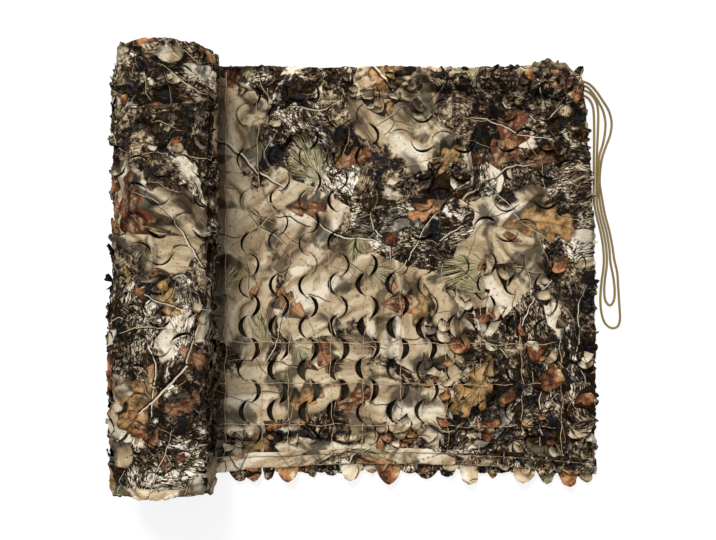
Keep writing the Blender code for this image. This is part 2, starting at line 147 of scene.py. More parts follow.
# Sharp creases of the upper layer, in mm: depth, half width, ridge beside it, and the points of its line.
Crease = namedtuple("Crease", "depth half ridge points left right front back")
CREASES = [Crease(*row, *(pick(line) for line in zip(*row[3]) for pick in (min, max))) for row in (
    (9.2, 4.3, 12.0, ((119, 316), (158, 321), (213, 324), (286, 322), (332, 311), (389, 287))),
    (7.5, 3.0, 4.0, ((157, 214), (139, 170), (121, 125))),
    (4.0, 2.3, 5.7, ((-18, 300), (30, 307), (71, 303), (102, 287))),
    (4.0, 1.9, 4.2, ((-4, 338), (18, 348), (25, 331))),
    (4.0, 1.9, 4.2, ((38, 352), (74, 344), (102, 349))),
    (3.4, 1.9, 3.4, ((12, 319), (48, 332), (84, 322), (112, 330))),
    (3.4, 1.7, 4.0, ((60, 362), (70, 338), (92, 333))),
    (3.2, 1.9, 2.8, ((-142, 306), (-104, 299), (-66, 304), (-20, 304))),
    (3.7, 1.9, 3.4, ((-226, 335), (-196, 318), (-178, 322), (-160, 300))),
    (3.2, 1.7, 3.4, ((-118, 345), (-84, 330), (-60, 338))),
    (4.6, 2.1, 5.7, ((300, 356), (318, 338), (345, 340), (362, 322))),
    (4.6, 2.1, 5.7, ((330, 366), (350, 352), (372, 350))),
    (4.0, 2.1, 4.6, ((382, 326), (366, 310), (350, 300))),
    (3.4, 1.9, 3.4, ((226, 352), (252, 340), (284, 346))),
    (3.4, 1.9, 2.8, ((150, 345), (182, 336), (210, 342))),
    (3.0, 1.8, 2.8, ((250, 300), (300, 284), (352, 262))),
    (2.8, 1.8, 1.2, ((396, 250), (372, 212), (380, 160))),
    (2.8, 1.8, 1.2, ((210, 250), (196, 205), (205, 160))),
    (2.5, 1.8, 1.2, ((-214, 180), (-172, 150), (-150, 96))),
    (2.5, 1.8, 1.2, ((-60, 220), (-22, 180), (20, 166))),
    (3.0, 1.9, 1.5, ((404, 20), (380, -36), (392, -90))),
    (2.8, 1.9, 1.5, ((300, -150), (342, -190), (350, -240))),
    (6.9, 3.4, 6.6, ((-238, -297), (-205, -303), (-176, -303))),
    (6.9, 3.6, 6.6, ((-157, -281), (-142, -288), (-134, -303))),
    (4.6, 2.3, 5.3, ((-86, -276), (-72, -290), (-66, -305))),
    (4.6, 2.3, 5.3, ((-50, -300), (-28, -309), (4, -304))),
    (5.8, 2.9, 6.6, ((58, -296), (80, -306), (98, -312))),
    (4.6, 2.1, 5.3, ((120, -270), (148, -290), (176, -298))),
    (5.8, 2.5, 6.6, ((196, -284), (232, -292), (262, -281))),
    (4.6, 2.3, 5.3, ((280, -300), (318, -294), (360, -304))),
    (4.6, 2.1, 5.3, ((300, -262), (322, -282), (352, -282))),
    (4.1, 2.1, 4.6, ((372, -262), (392, -280), (410, -300))),
)]
CREASE_STEP = 2.8  # between the finer points along a crease
CREASE_ASIDES = (-1.7, -0.85, 0.0, 0.85, 1.7, 2.9)  # and across it, in its half widths

# Puckers that cross the front hem, in mm: middle, lean from back to front, depth and half width.
HEM_PUCKERS = (
    (-203, 6, 2.0, 2.0), (-131, -10, 1.6, 1.8), (-104, 16, 1.4, 2.2), (-64, 22, 1.8, 2.0),
    (-34, 14, 1.5, 1.8), (22, -12, 1.2, 2.2), (66, -22, 1.4, 1.8), (128, 34, 2.4, 2.4),
    (176, -8, 1.4, 1.8), (214, 26, 1.6, 1.8), (246, 12, 2.0, 2.2), (280, -24, 1.8, 2.0),
    (318, 18, 2.2, 2.2), (352, -14, 2.0, 2.0), (388, 14, 2.4, 2.4),
)

# Tie cords: the points of each route, in mm, from the lower exit to the upper one.
CORD_DIAMETER = 0.0045
LONG_CORD = (
    (386, 312, 4.2), (400, 311, 4.2), (411, 305, 3.6), (418, 293, 2.6), (420.5, 275, 2.4),
    (421, 240, 2.4), (420.5, 200, 2.4), (420.5, 160, 2.4), (420.5, 125, 2.4), (425, 98, 2.4),
    (432, 70, 2.4), (437, 40, 2.4), (438, 10, 2.4), (434, -22, 2.4), (432, -52, 2.4),
    (434, -76, 2.4), (440, -94, 2.4), (451, -103, 2.4), (462, -101, 2.4), (467, -88, 2.4),
    (466, -64, 2.4), (464, -32, 2.4), (462, -4, 2.4), (457, 18, 2.4), (453.5, 42, 2.4),
    (448, 70, 2.4), (440.5, 98, 2.4), (435.5, 125, 2.4), (431, 155, 2.4), (432, 180, 2.4),
    (436, 203, 2.4), (443, 223, 2.4), (450, 243, 2.4), (452, 264, 2.4), (447, 284, 2.4),
    (436, 302, 2.8), (424, 319, 3.6), (412, 331, 4.2), (399, 336, 4.2), (384, 338, 4.2),
)
SHORT_CORD = (
    (384, 320, 4.2), (401, 320, 4.2), (414, 314, 3.6), (424, 301, 2.6), (428, 283, 2.4),
    (428, 255, 2.4), (426.5, 220, 2.4), (425.5, 185, 2.4), (425.5, 155, 2.4),
    (425.5, 125, 2.4), (430, 98, 2.4), (437.2, 70, 2.4), (442.4, 40, 2.4), (443.5, 10, 2.4),
    (440.5, -14, 2.4), (439, -36, 2.4), (441, -54, 2.4), (449, -63, 2.4), (456, -54, 2.4),
    (457.5, -36, 2.4), (455, -12, 2.4), (450, 14, 2.4), (447.8, 40, 2.4), (442.6, 70, 2.4),
    (435.2, 98, 2.4), (430.4, 125, 2.9), (427.6, 142, 6.6), (427.6, 162, 6.9),
    (428.5, 180, 6.6), (430, 203, 2.9), (436, 223, 2.4), (440, 243, 2.4), (441, 264, 2.4),
    (437, 283, 2.4), (429, 299, 2.8), (419, 314, 3.6), (409, 325, 4.2), (398, 329, 4.2),
    (384, 331, 4.2),
)
CURVE_STEPS = 8

# The cloth as it is modelled.
CLOTH = 0.0006  # thickness
ROLL_GAP = 0.0006  # between the roll and the loose end
FINE_STEP = 0.0045
COARSE_STEP = 0.010
FOLD_STEP = 0.0022  # between rows of points round the back fold
ROW_SHARE = 0.866  # of the step between the points, from row to row elsewhere
ARC_STEPS = 22
HAIR = 2e-5  # a width that doesn't count
FAR_OFF = (9.0, 9.0, 9.0)  # away from every place
FOLD_RADIUS = (UPPER_Z - UNDER_Z) / 2
FOLD_LENGTH = math.pi * FOLD_RADIUS
ROLL_MEAN = (ROLL_HALF_WIDTH + ROLL_HALF_HEIGHT) / 2
ROLL_AXIS_Z = ROLL_HALF_HEIGHT - ROLL_PRESSED
TURN_LENGTH = 2 * math.pi * ROLL_MEAN

# Names of the finishes, and the part's own slots that they belong to.
PRINTED, BACK_WITH_PAINTED_SHADE, HEM, AUTUMN = "woodland_cloth", "cloth_back_with_painted_shade", "hem_cloth", "autumn_print"
THREAD, CORD = "net_thread", "braided_cord"
PRINTED_SLOT, CORD_SLOT = "printed_cloth", "tie_cord"
# Where on the print each cloth was cut.
LOOSE_PRINT = (1.14, -1.18)
ROLL_PRINT = (0.058, 0.004)


def lump(x, y, z, size, seed):
    """Smooth unevenness between -1 and 1, with bumps of about that size."""
    return noise.noise(Vector((x / size + seed, y / size, z / size)))


def ridged(x, y, size, seed):
    """Thin ridges between 0 and 1, wandering at about that distance from each other."""
    return (1 - abs(noise.noise(Vector((x / size, y / size, seed))))) ** 12


def eased(share):
    """A share from 0 to 1 that starts and ends gently."""
    share = min(1.0, max(0.0, share))
    return share * share * (3 - 2 * share)


def bell(value, middle, reach):
    """A bump of 1 at a value, gone at about twice its reach from it."""
    return math.exp(-(((value - middle) / reach) ** 2))


def turned(x, y, angle, start=(0.0, 0.0)):
    """A step of x and y, turned by an angle, from a starting place."""
    cos, sin = math.cos(angle), math.sin(angle)
    return start[0] + x * cos - y * sin, start[1] + x * sin + y * cos


def wrapped(angle):
    """The same angle, at most half a turn either way."""
    return math.atan2(math.sin(angle), math.cos(angle))


def stray(dice, reach):
    """A random step either way."""
    return dice.uniform(-1, 1) * reach


def roll_radii(angle, y):
    """The outermost turn at an angle about the roll's axis, as its half width and height."""
    start, reach = ROLL_EVEN
    grown = min(1.0, max(0.0, (math.sin(angle) - start) / reach))
    across, up = ROLL_HALF_WIDTH * math.cos(angle), ROLL_HALF_WIDTH * math.sin(angle)
    bump = ROLL_LUMP * lump(across, y, up, ROLL_LUMP_SIZE, ROLL_SEED)
    bump += ROLL_RIDGE * math.sin(ROLL_RIDGES * angle + ROLL_RIDGE_TURN * y)
    return ROLL_HALF_WIDTH + grown * bump, ROLL_HALF_HEIGHT + grown * bump


def roll_side(z, y):
    """X of the roll's right flank at a small height above the ground."""
    above_axis = z - ROLL_AXIS_Z
    half_width, half_height = roll_radii(math.asin(above_axis / ROLL_HALF_HEIGHT), y)
    return ROLL_X + half_width * math.sqrt(1 - (above_axis / half_height) ** 2)


def hem_y(x):
    """The middle of the front hem, which bows forwards towards its ends."""
    return HEM_Y - HEM_SAG * ((x - HEM_SAG_X) / HEM_SAG_REACH) ** 2


def side_x(y):
    """The free edge, which runs in towards the back corner."""
    slant = max(0.0, y - SIDE_SLANT_Y) / SIDE_SLANT_REACH
    long, short = SIDE_WAVE_LENGTHS
    return SIDE_X - SIDE_SLANT * slant * slant + SIDE_WAVE * math.sin(y / long) * math.cos(y / short)


def fold_y(x):
    """The back edge, bunched near its corner, with a dip in the bunch and a rounded corner."""
    bunch = BUNCH * bell(x, BUNCH_X, BUNCH_REACH) - 0.007 * bell(x, 0.354, 0.008)
    bunch -= 0.010 * eased((x - 0.366) / 0.016)
    return FOLD_Y + bunch + FOLD_WAVE * math.sin(x / FOLD_WAVE_LENGTH)


def relief(x, y):
    """How far the upper layer stands above its lying height."""
    high = SOFT_LUMP * lump(x, y, 0.0, SOFT_LUMP_SIZE, CLOTH_SEED)
    for fold in FOLDS:
        along, across = turned(1000 * x - fold.x, 1000 * y - fold.y, -math.radians(fold.turn))
        high += fold.high / 1000 * math.exp(-(along / fold.along) ** 2 - (across / fold.across) ** 2)
    behind = (y - hem_y(x) - HEM_HALF) / HEM_TROUGH_HALF - 1
    high -= HEM_TROUGH * math.exp(-behind * behind)
    near = min(1.0, max(0.0, 1 - (x - ROLL_RISE_X) / ROLL_RISE_REACH))
    return high + ROLL_RISE * near * near


# Thin creases: height, stretch along x and y, the distance between them and a seed.
LOOSE_CREASES = (
    (1.0, 1.0, 1.0, 0.060, 2.3), (0.8, 1.0, 1.5, 0.026, 7.7),
    (-0.9, 1.2, 1.0, 0.037, 4.4), (-0.45, 1.0, 1.0, 0.019, 9.6),
)
ROLL_CREASES = (
    (0.0046, 1.0, 1.0, 0.055, 12.4), (0.0026, 1.4, 1.0, 0.024, 3.9),
    (-0.0036, 1.0, 1.3, 0.046, 6.5), (-0.0018, 1.0, 1.0, 0.021, 15.2),
)


def creased(x, y, creases):
    """The height of a table's creases at a place."""
    return sum(high * ridged(x * wide, y * long, size, seed) for high, wide, long, size, seed in creases)


def crumple(x, y):
    """The finer creases of the loose end, strongest along the hems and in the bunched corner."""
    front, back = bell(y, -0.292, 0.035), bell(y, 0.335, 0.04)
    corner = bell(x, 0.28, 0.17) * bell(y, 0.335, 0.05)
    band = bell(x, 0.04, 0.09) * back
    strong = 0.0024 + 0.0040 * corner + 0.0038 * band + 0.0034 * front + 0.0020 * back
    high = strong * (creased(x, y, LOOSE_CREASES) - 0.05) + 0.0004 * lump(x, y, 0.0, 0.009, 1.7)
    return high + sharp_creases(x, y)


def past_line(points, x, y):
    """Distance to a line of points, its side, and the share of its length there."""
    best, side, share = 1e9, 1.0, 0.0
    for number, ((ax, ay), (bx, by)) in enumerate(zip(points, points[1:])):
        dx, dy = bx - ax, by - ay
        t = min(1.0, max(0.0, ((x - ax) * dx + (y - ay) * dy) / (dx * dx + dy * dy)))
        far = math.hypot(x - ax - t * dx, y - ay - t * dy)
        if far < best:
            across = dx * (y - ay) - dy * (x - ax)
            best, side, share = far, math.copysign(1.0, across), (number + t) / (len(points) - 1)
    return best, side, share


def creases_near(x, y, aside, behind):
    """The sharp creases near a place in mm: each with the signed distance, and how much of it is left."""
    for crease in CREASES:
        beside = crease.left - aside < x < crease.right + aside
        if beside and crease.front - behind < y < crease.back + behind:
            far, side, share = past_line(crease.points, x, y)
            yield crease, far * side, min(1.0, 6 * share * (1 - share) + 0.1)


def sharp_creases(x, y):
    """How far the sharp creases sink the cloth, and the ridges beside them raise it."""
    high = 0.0
    for crease, far, left in creases_near(1000 * x, 1000 * y, 18, 18):
        high -= crease.depth * left * bell(far, 0.0, crease.half)
        high += crease.ridge * left * bell(far, 2.6 * crease.half, 1.6 * crease.half)
    return high / 1000


def fold_shade(x, y):
    """The loose end's painted shade: in its sharp creases, beside the roll and along its right edge, and
    below 0 as a painted highlight on the creases' ridges and along the back band.
    """
    # Painted shade beside the roll, and along the right edge where the cloth curls down.
    dark = max(0.80 * eased((-0.222 - x) / 0.018), 0.26 * eased((-0.155 - x) / 0.05))
    dark = max(dark, 0.36 * eased((x - side_x(y) + 0.040) / 0.030) * eased((0.19 - y) / 0.03))
    # A painted highlight along the back band, and on the ridge beside each crease.
    light = 0.19 * eased((y - 0.300) / 0.014)
    for crease, far, left in creases_near(1000 * x, 1000 * y, 9, math.inf):
        dark = max(dark, min(0.96, crease.depth / 5) * left * bell(far, 0.0, 0.75 * crease.half))
        lit = bell(far, 2.8 * crease.half, 1.3 * crease.half)
        light = max(light, min(0.45, crease.ridge / 12) * left * lit)
    return dark - light


def crease_points():
    """Places along each sharp crease, where the cloth needs finer points."""
    for crease in CREASES:
        for (ax, ay), (bx, by) in zip(crease.points, crease.points[1:]):
            long = math.hypot(bx - ax, by - ay)
            nx, ny = (ay - by) / long, (bx - ax) / long
            for i in range(round(long / CREASE_STEP)):
                t = i * CREASE_STEP / long
                for off in (aside * crease.half for aside in CREASE_ASIDES):
                    yield (ax + (bx - ax) * t + nx * off) / 1000, (ay + (by - ay) * t + ny * off) / 1000


# ---- cutting and sewing the cloth

LeafCut = namedtuple("LeafCut", "x y turn half gap lift twist")


def flap_move(cut, x, y):
    """How far a point of the flap inside a cut is drawn in and lifted, as (x, y, height)."""
    along, across = turned(x - cut.x, y - cut.y, -cut.turn)
    hinge = CUT_RADIUS * math.cos(cut.half)
    wide = CUT_RADIUS * math.sin(cut.half)
    if along <= hinge or abs(across) >= wide:
        return 0.0, 0.0, 0.0
    reach = math.sqrt(CUT_RADIUS ** 2 - across ** 2) - hinge
    share = min(1.0, (along - hinge) / reach)
    aside = across / wide
    side = (aside + 0.32 * cut.twist * (1 - aside * aside)) ** 2
    pointed = (CUT_RADIUS - hinge - cut.gap) * (1 - side)
    even = reach - cut.gap * (1 - side ** 3)
    wide_open = min(1.0, cut.gap / 0.010)
    drawn = share * (reach - (pointed * wide_open + even * (1 - wide_open)))
    lift = cut.lift * share ** 1.6 * (1 + cut.twist * across / CUT_RADIUS)
    return -drawn * math.cos(cut.turn), -drawn * math.sin(cut.turn), lift


def cloth_edge(left, right, front, back, rows, step):
    """The cloth's outline, once round it."""
    def along(edge, low, high, by):
        """Places of an edge, that far apart."""
        count = max(1, round((high - low) / by))
        return [edge(low + (high - low) * i / count) for i in range(count)]

    def on(edge):
        """An edge that gives its whole place, not only its y."""
        return lambda x: (x, edge(x))

    low, high = rows
    outline = along(on(front), left(low), right(low), step)
    outline += along(lambda t: (right(t), t), front(right(low)), back(right(high)), step)
    across = along(on(back), left(high), right(high), step)
    outline += [on(back)(right(high))] + across[:0:-1]
    down = along(lambda t: (left(t), t), front(left(low)), back(left(high)), step)
    outline += [(left(high), back(left(high)))] + down[:0:-1]
    return outline


def tree_of(places):
    """Finds which of some places is nearest to another."""
    tree = kdtree.KDTree(len(places))
    for number, place in enumerate(places):
        tree.insert(place, number)
    tree.balance()
    return tree


def slit_cloth(left, right, front, back, rows, cuts, finer=()):
    """A flat cloth with its leaf cuts slit.

    Rows are (place, step between its points), and finer are further points, where it bends sharply.
    """
    low, high = rows[0][0], rows[-1][0]
    outline = cloth_edge(left, right, front, back, (low, high), FINE_STEP)
    coords = [Vector(p) for p in outline]
    seams, arcs = [], {}
    for number, cut in enumerate(cuts):
        for i in range(ARC_STEPS + 1):
            angle = cut.turn + SLIT_HALF_ANGLE * (2 * i / ARC_STEPS - 1)
            arcs[len(coords)] = (number, i)
            if i:
                seams.append((len(coords) - 1, len(coords)))
            x, y = cut.x + CUT_RADIUS * math.cos(angle), cut.y + CUT_RADIUS * math.sin(angle)
            coords.append(Vector((x, y)))
    slits = tree_of([(*coords[i], 0.0) for i in arcs])

    def free(x, t, room):
        """Whether a place is that far from the front, the back and every slit."""
        return front(x) + room < t < back(x) - room and slits.find((x, t, 0.0))[2] > room

    finer = [p for p in finer if left(p[1]) + 0.001 < p[0] < right(p[1]) - 0.001 and free(*p, 0.0009)]
    coords += [Vector(p) for p in finer]
    filled = tree_of([FAR_OFF, *((x, t, 0.0) for x, t in finer)])
    for number, (t, step) in enumerate(rows):
        x = left(t) + step * (0.4 + 0.5 * (number % 2))
        while x < right(t) - 0.4 * step:
            if free(x, t, 0.42 * step) and filled.find((x, t, 0.0))[2] > 0.5 * step:
                coords.append(Vector((x, t)))
            x += step
    verts, _, faces, origins, *_ = delaunay_2d_cdt(
        coords, seams, [list(range(len(outline)))], 1, 1e-7)
    bm = bmesh.new()
    made = [bm.verts.new((*co, 0.0)) for co in verts]
    on_arc = {}
    for number, origin in enumerate(origins):
        for one in origin:
            if one in arcs:
                on_arc[number] = arcs[one]
    for face in faces:
        bm.faces.new([made[i] for i in face])
    bm.verts.index_update()
    opened = []
    for edge in bm.edges:
        ends = [on_arc.get(vert.index) for vert in edge.verts]
        if None not in ends and ends[0][0] == ends[1][0] and abs(ends[0][1] - ends[1][1]) == 1:
            opened.append(edge)
    bmesh.ops.split_edges(bm, edges=opened)
    bmesh.ops.delete(bm, geom=[v for v in bm.verts if not v.link_faces], context="VERTS")
    return bm


def flap_moves(bm, cuts):
    """For each point of a slit cloth that lies on a flap, how the flap moves it."""
    bm.verts.ensure_lookup_table()
    bm.verts.index_update()
    tree = tree_of([vert.co for vert in bm.verts])
    moves = {}
    for cut in cuts:
        middle = Vector((cut.x, cut.y, 0.0))
        for co, index, far in tree.find_range(middle, CUT_RADIUS + HAIR):
            if far > CUT_RADIUS - HAIR:
                linked = bm.verts[index].link_faces
                centre = sum((face.calc_center_median() for face in linked), Vector()) / len(linked)
                if (centre - middle).length > CUT_RADIUS - HAIR:
                    continue
            move = flap_move(cut, co.x, co.y)
            if move != (0.0, 0.0, 0.0):
                moves[index] = move
    return moves


def bake_place(low, high, share):
    """A function that fits values between low and high into a share of the bake map."""
    start, end = share
    return lambda value: start + (end - start) * (value - low) / (high - low)


def thickened(bm):
    """Gives a cloth its thickness, and says which faces are its back's.

    The back is a second layer below it, joined to it along every edge.
    """
    bm.normal_update()
    rims = [edge for edge in bm.edges if edge.is_boundary]
    inwards = {vert: -CLOTH * vert.normal for vert in bm.verts}
    copied = bmesh.ops.duplicate(bm, geom=bm.verts[:] + bm.edges[:] + bm.faces[:])
    below = copied["vert_map"]
    backs = [face for face in copied["geom"] if isinstance(face, bmesh.types.BMFace)]
    for vert, shift in inwards.items():
        below[vert].co = vert.co + shift
    bmesh.ops.reverse_faces(bm, faces=backs)
    for edge in rims:
        loop = edge.link_loops[0]
        a, b = loop.vert, loop.link_loop_next.vert
        bm.faces.new((b, a, below[a], below[b]))
    return set(backs)


def new_maps(bm, *names):
    """A mesh's maps of those names, all made before any is fetched."""
    for name in names:
        bm.loops.layers.uv.new(name)
    return [bm.loops.layers.uv[name] for name in names]


def keep_flat(face, cloth, fold, flat):
    """Keeps the flat place of a face's corners in one map, and their painted shade in another."""
    for loop in face.loops:
        u, v, dark = flat[loop.vert]
        loop[cloth].uv, loop[fold].uv = (u, v), (dark, 0.0)


def placed(name, data):
    """A new object in the scene."""
    made = bpy.data.objects.new(name, data)
    bpy.context.scene.collection.objects.link(made)
    return made


def finished_piece(name, bm, materials, node, slot, sharp=None):
    """A piece from its mesh, which stands for a node. Edges sharper than that many degrees stay sharp."""
    mesh = bpy.data.meshes.new(name)
    bm.to_mesh(mesh)
    bm.free()
    if sharp is not None:
        mesh.shade_smooth()
        mesh.set_sharp_from_angle(angle=math.radians(sharp))
    for material in materials:
        mesh.materials.append(bpy.data.materials[material])
    made = placed(name, mesh)
    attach(made, "root")
    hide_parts(node)
    return made


def cloth_thick(made, back=0):
    """Gives a thin piece the cloth's thickness. back is how many finishes on its back's own one lies."""
    solidify = made.modifiers.new("cloth", "SOLIDIFY")
    solidify.thickness = CLOTH
    solidify.offset = 0.0
    solidify.material_offset = back


def laid_cloth(name, bm, node, place, moves, shares, shifted, shade, materials=(PRINTED, BACK_WITH_PAINTED_SHADE)):
    """Lays a flat cloth in its place, gives it thickness, and keeps its flat coordinates as its maps.

    shifted says where on the print it was cut, and shade gives its painted shade, in the depth of its folds
    and elsewhere, with a painted highlight where it is below 0. shares are the parts of the bake map that
    its faces and
    their backs fill: functions of the flat place.
    """
    flat = {vert.index: vert.co.xy.copy() for vert in bm.verts}
    number = bm.verts.layers.int.new("number")
    dark = {}
    for vert in bm.verts:
        vert[number] = vert.index
        dark[vert.index] = shade(*vert.co.xy)
        dx, dy, lift = moves.get(vert.index, (0.0, 0.0, 0.0))
        vert.co = place(vert.co.x + dx, vert.co.y + dy, lift)
    backs = thickened(bm)
    cloth, bake, fold = new_maps(bm, "Cloth", "OFBake", "Fold")
    for face in bm.faces:
        face.smooth = True
        face.material_index = int(face in backs)
        share = shares[face.material_index]
        for loop in face.loops:
            x, y = flat[loop.vert[number]]
            loop[cloth].uv = (x + shifted[0], y + shifted[1])
            loop[bake].uv = share(x, y)
            loop[fold].uv = (dark[loop.vert[number]], 0.0)
    bm.verts.layers.int.remove(number)
    return finished_piece(name, bm, materials, node, PRINTED_SLOT)


# ---- the loose end

def slit(dice, x, y, turn):
    """A narrow cut whose flap has hardly opened."""
    half = SLIT_HALF_ANGLE * dice.uniform(0.65, 1.0)
    return LeafCut(
        x + stray(dice, SLIT_JITTER), y + stray(dice, SLIT_JITTER),
        turn + dice.uniform(-0.3, 0.3), half, dice.choice(SLIT_GAPS),
        dice.uniform(-0.0010, 0.0065), dice.uniform(-1.3, 1.3))


def turned_region(x, y):
    """Whether the leaf cuts run the other way there: in the loose end's far right."""
    return x > 0.055 and y > 0.015 + 0.3 * max(0.0, 0.15 - x)


def loose_cuts():
    """Leaf cuts of the loose end: wide open in its front half, narrow slits elsewhere."""
    chance, other = random.Random(CUT_SEED), random.Random(SLIT_SEED)
    cuts = []
    for row in range(CUT_ROWS):
        for column in range(CUT_COLUMNS):
            x = CUT_FIRST[0] + CUT_PITCH_X * column + stray(chance, CUT_JITTER)
            y = CUT_FIRST[1] - CUT_PITCH_Y * row + stray(chance, CUT_JITTER)
            off = ((x - CUT_MIDDLE[0]) / CUT_SPREAD[0]) ** 2 + ((y - CUT_MIDDLE[1]) / CUT_SPREAD[1]) ** 2
            gap = CUT_WIDEST * math.exp(-off) * chance.uniform(*CUT_SHARE)
            turn = math.pi * (row % 2)
            if gap >= CUT_LEAST:
                gap *= other.choice(WIDE_SHARES)
                lift = (0.0020 + 0.40 * gap * other.uniform(0.3, 1.5)) * (1.6 if x > 0.1 else 1.0)
                cuts.append(LeafCut(x, y, turn, OPEN_HALF_ANGLE, gap, lift, other.uniform(-0.9, 0.9)))
            elif not turned_region(x, y):
                cuts.append(slit(other, x, y, turn))
    for row in range(-MORE_BACK, CUT_ROWS + MORE_FRONT):
        for column in range(CUT_COLUMNS + 1):
            x, y = CUT_FIRST[0] + CUT_PITCH_X * column, CUT_FIRST[1] - CUT_PITCH_Y * row
            if (not 0 <= row < CUT_ROWS or column == CUT_COLUMNS) and not turned_region(x, y):
                cuts.append(slit(other, x, y, math.pi * (row % 2)))
    for row in range(TURNED_ROWS):
        for column in range(TURNED_COLUMNS):
            x, y = TURNED_FIRST[0] + CUT_PITCH_Y * column, TURNED_FIRST[1] - CUT_PITCH_X * row
            if turned_region(x, y) and other.random() < TURNED_SHARE:
                cuts.append(slit(other, x, y, math.pi / 2 + math.pi * (column % 2)))
    kept = []
    for cut in cuts:
        inside = hem_y(cut.x) + HEM_HALF + CUT_FROM_HEM <= cut.y <= fold_y(cut.x) - CUT_FROM_FOLD
        inside = inside and cut.x <= side_x(cut.y) - CUT_FROM_SIDE
        if inside and all(math.hypot(cut.x - old.x, cut.y - old.y) > CUT_CLEAR for old in kept):
            kept.append(cut)
    return kept


def turn_over_y(x):
    """Where the cloth begins to turn over at the back."""
    return fold_y(x) - FOLD_RADIUS


def loose_left(t):
    """The loose end's edge against the roll, by its place along the cloth."""
    over = turn_over_y(-0.25)
    y = min(t, over)
    upper = roll_side(UPPER_Z + max(0.0, relief(ROLL_RISE_X, y)) + 0.001, y) + ROLL_GAP
    back_y = 2 * over + FOLD_LENGTH - max(t, over + FOLD_LENGTH)
    under = roll_side(UNDER_Z + 0.0012, back_y) + ROLL_GAP
    return upper + (under - upper) * eased((t - over) / FOLD_LENGTH)


def notch(y, middle, wide, deep):
    """How far a torn place reaches in."""
    return deep * max(0.0, 1 - abs(y - middle) / wide)


def loose_right(t):
    """The free edge, frayed into small teeth and torn in one place."""
    over = turn_over_y(0.40)
    y = min(t, over)
    if t > over + FOLD_LENGTH:
        y = 2 * over + FOLD_LENGTH - t
        return side_x(y) - 0.002 + 0.0015 * lump(y, 0.0, 0.0, 0.006, 8.8)
    teeth = 0.0016 * lump(y, 0.0, 0.0, 0.0055, 4.1) + 0.0012 * lump(y, 0.0, 0.0, 0.017, 2.6)
    return side_x(y) + teeth - notch(y, 0.164, 0.006, 0.007) - notch(y, 0.052, 0.004, 0.003)


def loose_place(x, t, lift):
    """Where a place of the flat cloth lies in the loose end."""
    turn_y = turn_over_y(x)
    past = (t - turn_y) / FOLD_RADIUS
    if past <= 0:
        ease = min(1.0, (turn_y - t + 0.003) / FOLD_EASE)
        high = (relief(x, t) + crumple(x, t)) * ease
        return Vector((x, t, max(UNDER_Z + 0.0022, UPPER_Z + high + lift)))
    if past < math.pi:
        rough = 0.0026 * lump(x, 0.0, 0.0, 0.019, 4.7) + 0.0020 * lump(x, past * 0.01, 0.0, 0.008, 2.9)
        y = turn_y + (FOLD_RADIUS + rough) * math.sin(past)
        return Vector((x, y, UNDER_Z + FOLD_RADIUS * (1 + math.cos(past))))
    y = turn_y - (past - math.pi) * FOLD_RADIUS
    return Vector((x, y, UNDER_Z + 0.0003 * lump(x, y, 0.0, 0.02, 6.1)))


def make_loose_end():
    """Both layers of the unrolled stretch, one cloth that turns over at the back."""
    over = turn_over_y(0.0)
    below = over + FOLD_LENGTH
    end = over + below - UNDER_FRONT_Y
    rows, t = [], HEM_Y - 0.02
    while t < end:
        step = FINE_STEP if t < below else COARSE_STEP
        rows.append((t, step))
        t += FOLD_STEP if over - 0.006 < t < below + 0.004 else step * ROW_SHARE
    rows.append((end, COARSE_STEP))

    def front(x):
        return hem_y(x) - 0.004

    def back(x):
        return end + 0.0015 * lump(x, 0, 0, 0.01, 3.3)

    cuts = loose_cuts()
    bm = slit_cloth(loose_left, loose_right, front, back, rows, cuts, list(crease_points()))
    moves = flap_moves(bm, cuts)
    wide = bake_place(-0.31, 0.43, (0.0, 1.0))

    def shared(upper, under):
        """The upper and the under layer's shares of the bake map, as one function."""
        upper, under = bake_place(-0.36, below, upper), bake_place(below, end + 0.01, under)
        return lambda x, t: (wide(x), upper(t) if t < below else under(t))

    shares = shared((0.30, 1.0), (0.30, 0.22)), shared((0.0, 0.05), (0.05, 0.22))
    return laid_cloth(
        "loose_end_cloth", bm, "net_loose_end", loose_place, moves, shares, LOOSE_PRINT, fold_shade)


# ---- the roll

ROLL_SEAM_Y = -0.356  # the seam of the hem at its near end
ROLL_CUT_ROWS, ROLL_CUT_COLUMNS = 15, 16
ROLL_CUT_GAPS = (0.0012, 0.002, 0.0026, 0.0036, 0.0055)
ROLL_CUT_LIFTS = (0.0, 0.0, 0.001, 0.002, 0.003)  # on its flanks
ROLL_CUT_SEED = 23


def roll_crumple(s, y):
    """Creases of the outermost turn."""
    return creased(s, y, ROLL_CREASES) - 0.00138 + 0.0006 * lump(s, y, 0.0, 0.011, 9.2)


def flank_dent(angle, y):
    """How far the roll draws in: at its far left, and at its right flank beside the loose end."""
    left = 0.0062 * eased((y + 0.04) / 0.10) * (1 + 0.3 * lump(0.0, y, 0.0, 0.04, 2.0))
    right = 0.40 + 0.60 * eased((0.05 - y) / 0.08) * eased((y + 0.29) / 0.08)
    right *= 0.0085 * (1 + 0.3 * lump(0.0, y, 0.0, 0.05, 5.0))
    return left * bell(wrapped(math.pi - angle), 0.10, 0.55) + right * bell(wrapped(angle), 0.06, 0.40)


def in_trough(angle, y, middle, reach):
    """How deep a place is in the trough that wanders along the roll's right side, from 0 to 1."""
    return bell(wrapped(angle), middle + 0.12 * lump(0.0, y, 0.0, 0.14, 3.0), reach)


def roll_angle(s):
    """The angle about the roll's axis after a length of cloth: up its left side from the ground."""
    return -math.pi / 2 - s / ROLL_MEAN


